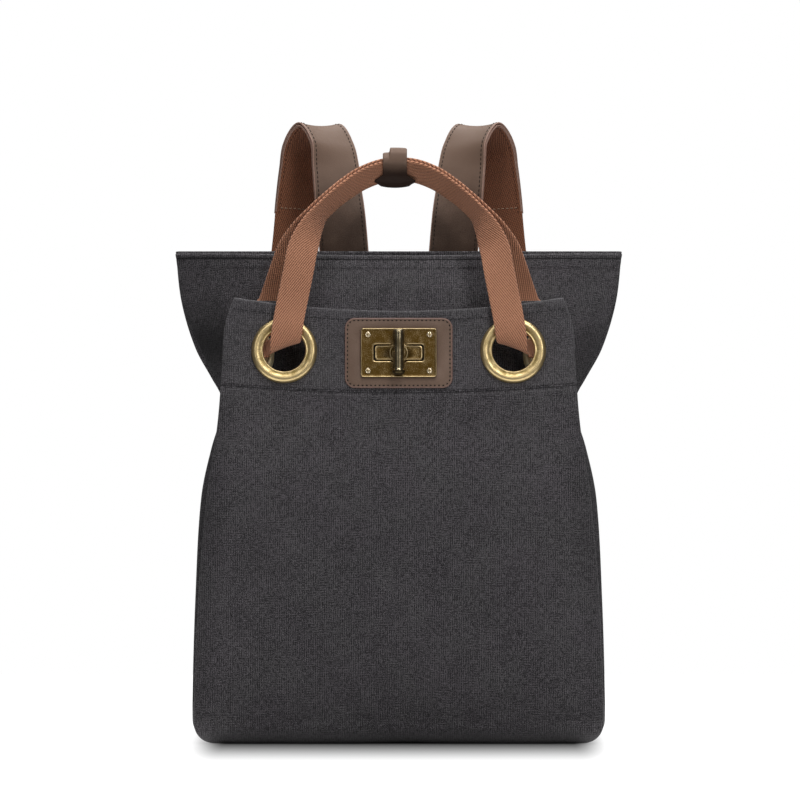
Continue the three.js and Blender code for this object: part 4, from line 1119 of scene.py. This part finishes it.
# Carrying handle
# One closed loop of red-brown twill webbing. It lies double over the top of its arch, and each end
# of the arch parts into a leg that goes in through the front eyelet and one that comes up behind.
WEBBING_RIDGE = (0.58, 0.272, 0.16, 1)
WEBBING_GROOVE = (0.17, 0.068, 0.037, 1)
TWILL_RIBS = (560, 290)          # in a metre across and along the tape
TWILL_YARNS = (240, 500)
HANDLE = {"width": 24.0, "thick": 2.2, "lap": 1.4, "spacing": 2.0}
HANDLE_ROUTE = np.array([
    # x, y, z of the middle, direction across it, and 1 where it lies double
    (0, -15.6, 449, 0, 0.77, -0.64, 1),
    (14, -16, 447.5, -0.1, 0.78, -0.62, 1),
    (29, -17.3, 441.7, -0.21, 0.8, -0.56, 1),
    (40, -19, 434.6, -0.26, 0.82, -0.5, 1),
    (51, -21.5, 426, -0.3, 0.85, -0.43, 1),
    (61, -25, 414.5, -0.36, 0.85, -0.36, 0),
    (67.5, -29, 404, -0.62, 0.68, -0.4, 0),
    (72, -33.5, 394, -0.85, 0.45, -0.3, 0),
    (75.5, -38, 384, -0.98, 0.2, -0.1, 0),
    (78, -42, 370, -1, 0, 0, 0),
    (81.5, -45.5, 352, -1, 0, 0, 0),
    (84.5, -48.4, 337, -1, 0, 0, 0),
    (86.5, -50.8, 325, -1, 0, 0, 0),
    (87.6, -50.2, 317.6, -0.99, 0, 0.12, 0),
    (88.4, -47.2, 312.4, -0.96, 0, 0.27, 0),
    (89.3, -42.8, 309.5, -0.93, 0, 0.37, 0),
    (90.8, -38.3, 308.9, -0.93, 0.1, 0.35, 0),
    (96, -32.8, 308.6, -0.88, 0.25, 0.4, 0),
    (103, -29.8, 307.6, -0.7, 0.4, 0.59, 0),
    (110, -27.6, 305.6, -0.55, 0.5, 0.65, 0),
    (117, -23.4, 304.2, -0.65, 0.65, 0.35, 0),
    (122.5, -17.3, 307, -0.7, 0.7, 0.1, 0),
    (125, -12.5, 316, -0.66, 0.75, 0, 0),
    (117.5, -8.3, 327.5, -0.83, 0.3, -0.4, 0),
    (101.5, -6.3, 339.5, -0.89, -0.05, -0.45, 0),
    (96.2, -6.8, 351.5, -0.92, -0.05, -0.38, 0),
    (89.2, -10.2, 372, -0.92, 0.2, -0.33, 0),
    (83.4, -15, 388, -0.9, 0.4, -0.28, 0),
    (74.5, -20, 402, -0.7, 0.6, -0.35, 0),
    (66.5, -21.5, 412.5, -0.45, 0.8, -0.36, 0),
    (51, -21.5, 426, -0.3, 0.85, -0.43, 1),
    (40, -19, 434.6, -0.26, 0.82, -0.5, 1),
    (29, -17.3, 441.7, -0.21, 0.8, -0.56, 1),
    (14, -16, 447.5, -0.1, 0.78, -0.62, 1),
    (0, -15.6, 449, 0, 0.77, -0.64, 1),
])


def webbing_finish(name, ridge, groove):
    material, shader, place = finish(name, {"Sheen Weight": 0.15, "Sheen Roughness": 0.5,
                                            "Specular IOR Level": 0.2})
    across = place.node("ShaderNodeSeparateXYZ", None, {0: place})
    along = place.node("ShaderNodeSeparateXYZ", None, {0: place}, 1)
    # Twill ribs climb steeply across the tape; each is laid from short slanting yarns
    twill = (across * TWILL_RIBS[0] + along * TWILL_RIBS[1]).wave()
    yarn = (across * TWILL_YARNS[0] - along * TWILL_YARNS[1]).wave()
    tone = place.grain(700, 3)
    wash = place.grain(22, 2)
    rib = twill ** 0.55
    shade = rib * 0.68 + yarn * 0.1 + tone * 0.5 + wash * 0.35 - 0.29
    shade.band(0.05, 0.95).blend(groove, ridge).into(shader, "Base Color")
    (tone * 0.2 + 0.72).into(shader, "Roughness")
    raised(rib + yarn * 0.25 + tone * 0.3, 0.00045, shader)
    return material


def smooth_route(route, rows, closed):
    """Places and directions on a smooth curve through a route's points, at row numbers."""
    count = len(route)
    low = np.floor(rows).astype(int)
    if not closed:
        low = np.minimum(low, count - 2)
    t = (rows - low)[:, None]
    if closed:
        p0, p1, p2, p3 = (route[(low + k) % count] for k in (-1, 0, 1, 2))
    else:
        longer = np.concatenate([[2 * route[0] - route[1]], route, [2 * route[-1] - route[-2]]])
        p0, p1, p2, p3 = (longer[low + k] for k in (0, 1, 2, 3))
    d0, d1, d2 = (np.linalg.norm(b - a, axis=1, keepdims=True) ** 0.5
                  for a, b in ((p0, p1), (p1, p2), (p2, p3)))
    m1 = ((p1 - p0) / d0 - (p2 - p0) / (d0 + d1) + (p2 - p1) / d1) * d1
    m2 = ((p2 - p1) / d1 - (p3 - p1) / (d1 + d2) + (p3 - p2) / d2) * d1
    c2 = -3 * p1 + 3 * p2 - 2 * m1 - m2
    c3 = 2 * p1 - 2 * p2 + m1 + m2
    place = p1 + t * (m1 + t * (c2 + t * c3))
    return place, unit(m1 + t * (2 * c2 + t * 3 * c3))


def frames_along(route, spacing, closed, first=0.0, last=None):
    """Evenly spaced frames on a route: middle, across, through, further columns, and its length."""
    count = len(route)
    last = (count if closed else count - 1) if last is None else last
    fine = np.linspace(first, last, 40 * count)
    path = smooth_route(route[:, :3], fine, closed)[0]
    length = np.concatenate([[0], np.linalg.norm(np.diff(path, axis=0), axis=1).cumsum()])
    steps = int(round(length[-1] / spacing))
    rows = np.interp(np.linspace(0, length[-1], steps + 1), length, fine)
    if closed:
        rows = rows[:-1]
    middle, forward = smooth_route(route[:, :3], rows, closed)
    low = np.floor(rows).astype(int) % count
    high = (low + 1) % count if closed else np.minimum(low + 1, count - 1)
    t = (rows - np.floor(rows))[:, None]
    columns = route[low] * (1 - t) + route[high] * t
    through = unit(np.cross(forward, columns[:, 3:6]))
    across = unit(np.cross(through, forward))
    return middle, across, through, columns[:, 6:], length[-1]


def tape_section(width, thick, columns=14):
    """Outline of a flat tape with round edges: across, through, and 1 on its two edges."""
    edge = thick * 0.45
    flat = np.linspace(-width / 2 + edge, width / 2 - edge, columns + 1)
    lower = [(a, -thick / 2, 0) for a in flat]
    upper = [(a, thick / 2, 0) for a in flat[::-1]]
    turns = (-0.9, -0.3, 0.3, 0.9)
    right = [(width / 2 - edge + edge * math.cos(t), thick / 2 * math.sin(t), 1) for t in turns]
    left = [(-a, -b, 1) for a, b, _ in right]
    return np.array(lower + right + upper + left)


def tape(name, frames, section, materials, closed, mirror=False, cup=None, wear_and_painted_light=None,
         twin=False, edged=1.0):
    """A tape swept along frames. Its edges take the last material over the first share edged of it.
    cup lifts both edges, and twin turns the weave round at x = 0."""
    middle, across, through, _, length = frames
    count = len(middle)
    sides = len(section)
    offset = section[:, 1][None, :] * np.ones((count, 1))
    if cup is not None:
        offset = offset - np.outer(cup, (2 * section[:, 0] / np.ptp(section[:, 0])) ** 2)
    points = (middle[:, None, :] + across[:, None, :] * section[None, :, :1]
              + through[:, None, :] * offset[..., None])
    index = np.arange(count * sides).reshape(count, sides)
    ahead = np.roll(index, -1, axis=0)
    quads = np.stack([index, np.roll(index, -1, axis=1), np.roll(ahead, -1, axis=1), ahead], -1)
    spans = count if closed else count - 1
    quads = quads[:spans].reshape(-1, 4)
    run = np.linspace(0, length, spans + 1)
    wide = section[:, 0]
    wide_next = np.roll(wide, -1)
    sign = np.ones(spans)
    if twin:
        sign = np.where(middle[:spans, 0] < 0, -1.0, 1.0)
    uv = np.empty((spans, sides, 4, 2))
    for corner, (which, step) in enumerate(((wide, 0), (wide_next, 0), (wide_next, 1), (wide, 1))):
        uv[:, :, corner, 0] = sign[:, None] * which
        uv[:, :, corner, 1] = run[step:spans + step, None]
    on_edge = (section[:, 2] + np.roll(section[:, 2], -1)) > 0
    picks = np.tile(np.where(on_edge, len(materials) - 1, 0), spans)
    picks[int(spans * edged) * sides:] = 0
    picks = picks.tolist()
    faces = quads.tolist()
    corners = list(uv.reshape(-1, 4, 2))
    if not closed:
        faces += [index[0][::-1].tolist(), index[-1].tolist()]
        corners += [section[::-1, :2], section[:, :2]]
        picks += [0, 0]
    painted_light_and_wear = None if wear_and_painted_light is None else np.repeat(wear_and_painted_light, sides)
    made = shape(name, points, faces, corners, materials, picks, painted_light_and_wear, mirror)
    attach(made, "bag")
    return made


handle_webbing = webbing_finish("handle_webbing", WEBBING_RIDGE, WEBBING_GROOVE)
other_half = HANDLE_ROUTE[1:-1][::-1] * np.array([-1, 1, 1, -1, 1, 1, 1])
handle_loop = np.concatenate([HANDLE_ROUTE, other_half])
middle, across, through, lap, length = frames_along(handle_loop, HANDLE["spacing"], True)
middle = middle - through * lap * HANDLE["lap"]
handle_section = tape_section(HANDLE["width"], HANDLE["thick"])
handle = tape("handle_webbing_loop", (middle, across, through, lap, length), handle_section,
              [handle_webbing], True, twin=True)
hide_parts("handle_webbing")


# Keeper
# A leather band wrapped round both layers at the top of the arch and lapped on itself.
# It spreads a little underneath, where the fingers go.
# The keeper's dark and pale leathers carry painted shade underneath and painted light on top
KEEPER_LEATHER = (0.03, 0.016, 0.011, 1)
KEEPER_PULL_AND_LIT = (0.19, 0.123, 0.09, 1)
KEEPER = {"half": 9.5, "inside": 3.1, "width": 12.9, "thick": 1.7, "bend": 65.0, "x": -3.0}
KEEPER_TILT = math.radians(-39.7)
KEEPER_SIDES = 96
keeper_leather = leather_finish("keeper_leather", KEEPER_LEATHER, KEEPER_PULL_AND_LIT)


def keeper_loop(grow):
    """A rounded loop round the webbing, grown outward; across and through."""
    angle = np.arange(KEEPER_SIDES) * math.tau / KEEPER_SIDES
    w = KEEPER["width"] + grow
    h = KEEPER["inside"] + grow
    radius = box_radius(angle, 2 * w, 2 * h, 1.0 + grow)
    return np.stack([radius * np.cos(angle), radius * np.sin(angle)], -1)


def keeper_band(inner, outer):
    """Points, faces and painted light and shade of the band round the handle, in its own tilted frame."""
    stations = np.linspace(-1, 1, 45)
    rounding = 0.7 * ease(np.abs(stations), 0.86, 1) ** 2
    shells = []
    for grow, outside in ((outer, 1), (inner, 0)):
        order = range(len(stations)) if outside else range(len(stations))[::-1]
        for k in order:
            loop = keeper_loop(grow - outside * rounding[k])
            rise = loop[:, 0] * math.sin(KEEPER_TILT) + loop[:, 1] * math.cos(KEEPER_TILT)
            under = ease(-rise, 4.5, 9.5)
            flare = 0.7 * ease(-rise, 3.5, 7.5) - 0.4 * ease(-rise, 8, 11.3)
            reach = stations[k] * KEEPER["half"] * (1 + flare)
            # The lapped end stands up as a block over all but the left part of the band
            lap = 1.2 + 3.6 * ease(reach, -4.6, -3.6)
            lift = outside * (lap * ease(rise, 4, 8) - 2.4 * under * (1 - stations[k] ** 2))
            y = loop[:, 0] + lift * math.sin(KEEPER_TILT)
            z = loop[:, 1] + lift * math.cos(KEEPER_TILT) - reach ** 2 / (2 * KEEPER["bend"])
            shells.append(np.stack([reach, y, z], -1))
    loops = np.array(shells)
    index = np.arange(loops[..., 0].size).reshape(loops.shape[:2])
    ahead = np.roll(index, -1, axis=0)
    quads = np.stack([index, ahead, np.roll(ahead, -1, axis=1), np.roll(index, -1, axis=1)], -1)
    flat = loops.reshape(-1, 3)
    height = flat[:, 1] * math.sin(KEEPER_TILT) + flat[:, 2] * math.cos(KEEPER_TILT)
    # Painted light on top of the band, painted shade underneath
    return flat, quads.reshape(-1, 4), 1.3 * ease(height, -7, 10) - 0.5


keeper_points, keeper_quads, keeper_painted_light = keeper_band(0.0, KEEPER["thick"])
turned_y = keeper_points[:, 1] * math.cos(KEEPER_TILT) - keeper_points[:, 2] * math.sin(KEEPER_TILT)
turned_z = keeper_points[:, 1] * math.sin(KEEPER_TILT) + keeper_points[:, 2] * math.cos(KEEPER_TILT)
keeper_places = np.stack([keeper_points[:, 0] + KEEPER["x"], turned_y, turned_z], -1)
keeper_places = keeper_places + HANDLE_ROUTE[0, :3]
keeper_uv = keeper_points[keeper_quads][..., [0, 1]]
keeper = shape("handle_keeper_leather", keeper_places, keeper_quads, keeper_uv, [keeper_leather],
               None, keeper_painted_light)
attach(keeper, "bag")
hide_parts("handle_keeper")


# Shoulder straps
# Two layers sewn edge to edge: smooth taupe leather outside over the shoulder and webbing inside.
# The webbing runs on alone down the back to the lower corner. Both ends are sewn to the back panel.
# The near-black leather also paints the shade down the strap, the pale one its lit top
STRAP_LEATHER = (0.029, 0.015, 0.009, 1)
STRAP_PULL_AND_LIT = (0.178, 0.117, 0.086, 1)
# The strap's webbing takes the handle webbing's colours darkened: painted shade
STRAP_RIDGE_SHADED = (0.32, 0.127, 0.063, 1)
STRAP_GROOVE_SHADED = (0.13, 0.047, 0.023, 1)
STRAP_EDGE = (0.46, 0.29, 0.23, 1)
STRAP_EDGE_DARK = (0.24, 0.14, 0.105, 1)
PALE_THREAD = (0.30, 0.20, 0.14, 1)
BROWN_THREAD = (0.075, 0.03, 0.017, 1)
STRAP = {"width": 39.5, "leather": 1.8, "webbing": 2.0, "gap": 0.3, "leather_rows": 31 / 3}
STRAP_SPACING = 2.5              # between the rows of a strap's mesh
STRAP_COLUMNS = 16
STRAP_SEW = 3.2                  # how far the stitch rows lie from the edges
STRAP_STITCHES = (3.6, 2.8, 0.38)
STRAP_CUP = 2.4                  # its edges stand up this much over the shoulder
STRAP_CUP_DROP = 22.0            # and that fades over about this height below the top
STRAP_WEAR_AND_LIGHT_DROP = 62.0           # and the paler leather, rubbed and with painted light on the bend, over about this
LEATHER_END_ROW = -3             # mesh rows that carry a line of stitches across the strap
TOP_BOX_ROWS = (2, 13)
FOOT_BOX_ROWS = (-12, -2)
ACROSS_POINTS = 24
STRAP_ROUTE = np.array([
    # x, y, z of the line where the layers meet, and the direction across the strap
    (42, 53.6, 322, 1, 0, 0),
    (43, 49.9, 372, 1, 0, 0),
    (44, 49, 388, 1, 0, 0),
    (46.5, 50, 415, 1, -0.08, 0),
    (49, 53, 436, 0.94, -0.28, 0),
    (50.9, 57, 455, 0.95, -0.34, 0),
    (54.5, 62.5, 473, 0.84, -0.54, 0),
    (64.5, 75, 487, 0.84, -0.54, 0),
    (76, 89, 474, 0.8, -0.6, 0),
    (79, 96, 455, 0.87, -0.48, 0),
    (81.3, 100, 430, 0.93, -0.36, 0),
    (84.5, 103, 392, 0.95, -0.3, 0),
    (91, 106, 340, 0.96, -0.26, 0),
    (100, 107, 280, 0.95, -0.3, 0),
    (110, 104, 210, 0.98, -0.2, 0),
    (121, 96, 140, 1, -0.1, 0),
    (131, 84, 80, 1, 0, 0),
    (136.5, 73, 48, 1, 0, 0),
    (138.5, 67.2, 30, 1, 0, 0),
    (139, 67.1, 17, 1, 0, 0),
])
strap_leather = leather_finish("strap_leather", STRAP_LEATHER, STRAP_PULL_AND_LIT)
strap_webbing = webbing_finish("strap_webbing", STRAP_RIDGE_SHADED, STRAP_GROOVE_SHADED)
pale_thread = thread_finish("pale_thread", PALE_THREAD)
brown_thread = thread_finish("brown_thread", BROWN_THREAD)
strap_edge = edge_finish("strap_edge", STRAP_EDGE_DARK, STRAP_EDGE)
leather_frames = frames_along(STRAP_ROUTE, STRAP_SPACING, False, 0, STRAP["leather_rows"])
webbing_frames = frames_along(STRAP_ROUTE, STRAP_SPACING, False)


def over_shoulder(frames, drop):
    """1 at the top of the strap's bend, fading to about a third a drop below it."""
    return np.exp(-((STRAP_ROUTE[:, 2].max() - frames[0][:, 2]) / drop) ** 2)


def layer(frames, shift):
    """The frames of one layer of the strap, shifted through its thickness."""
    middle, across, through, columns, length = frames
    return middle + through * shift, across, through, columns, length


leather_layer = layer(leather_frames, -(STRAP["gap"] + STRAP["leather"]) / 2)
webbing_layer = layer(webbing_frames, (STRAP["gap"] + STRAP["webbing"]) / 2)
leather_section = tape_section(STRAP["width"], STRAP["leather"], STRAP_COLUMNS)
webbing_section = tape_section(STRAP["width"], STRAP["webbing"], STRAP_COLUMNS)
leather_cup = STRAP_CUP * over_shoulder(leather_frames, STRAP_CUP_DROP)
webbing_cup = STRAP_CUP * over_shoulder(webbing_frames, STRAP_CUP_DROP)
# Paler over the shoulder, darker below: rubbed pull-up leather and painted light and shade
leather_wear_and_painted_light = 1.1 * over_shoulder(leather_frames, STRAP_WEAR_AND_LIGHT_DROP) - 0.25
leather_share = leather_frames[4] / webbing_frames[4]
face = STRAP["gap"] / 2 + STRAP["leather"]
inner_face = STRAP["gap"] / 2 + STRAP["webbing"]
outer_rows = []
inner_rows = []
for edge in (-1, 1):
    middle, across, through = leather_frames[:3]
    sewn_share = 1 - 2 * STRAP_SEW / STRAP["width"]
    sewn_line = middle + across * edge * sewn_share * STRAP["width"] / 2
    lifted = leather_cup * sewn_share ** 2
    sewn_line = sewn_line - through * lifted[:, None]
    outer_rows.append((sewn_line - through * face, -through))
    inner_rows.append((sewn_line + through * inner_face, through))
# The leather's end is sewn across
middle, across, through = (part[LEATHER_END_ROW] for part in leather_frames[:3])
reach = np.linspace(-1, 1, ACROSS_POINTS)[:, None] * (STRAP["width"] / 2 - STRAP_SEW)
outer_rows.append((middle + across * reach - through * face, np.tile(-through, (ACROSS_POINTS, 1))))
cross_rows = [(middle + across * reach + through * inner_face, np.tile(through, (ACROSS_POINTS, 1)))]
# Both ends are sewn to the back panel with a box of stitches
middle, across, through = webbing_frames[:3]
for row in TOP_BOX_ROWS:
    box_row = middle[row] + across[row] * reach + through[row] * inner_face
    cross_rows.append((box_row, np.tile(through[row], (ACROSS_POINTS, 1))))
for row in FOOT_BOX_ROWS:
    box_row = middle[row] + across[row] * reach + through[row] * STRAP["gap"] / 2
    cross_rows.append((box_row, np.tile(-through[row], (ACROSS_POINTS, 1))))
box_height = slice(FOOT_BOX_ROWS[0], FOOT_BOX_ROWS[1] + 1)
for edge in (-1, 1):
    box_side = middle + across * edge * reach[-1] + through * STRAP["gap"] / 2
    cross_rows.append((box_side[box_height], -through[box_height]))
for side, mirror in (("right", False), ("left", True)):
    leather_strip = tape(f"shoulder_strap_{side}_leather", leather_layer, leather_section,
                         [strap_leather, strap_edge], False, mirror, leather_cup, leather_wear_and_painted_light)
    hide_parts(f"shoulder_strap_leather_{side}")
    webbing_strip = tape(f"shoulder_strap_{side}_webbing", webbing_layer, webbing_section,
                         [strap_webbing, strap_edge], False, mirror, webbing_cup, edged=leather_share)
    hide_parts(f"shoulder_strap_webbing_{side}")
    strap_stitching = stitches(f"shoulder_strap_{side}_stitching", outer_rows, leather_thread,
                               *STRAP_STITCHES, mirror)
    lining_stitching = stitches(f"shoulder_strap_{side}_inner_stitching", inner_rows, brown_thread,
                                *STRAP_STITCHES, mirror)
    cross_stitching = stitches(f"shoulder_strap_{side}_cross_stitching", cross_rows, pale_thread,
                               *STRAP_STITCHES, mirror)
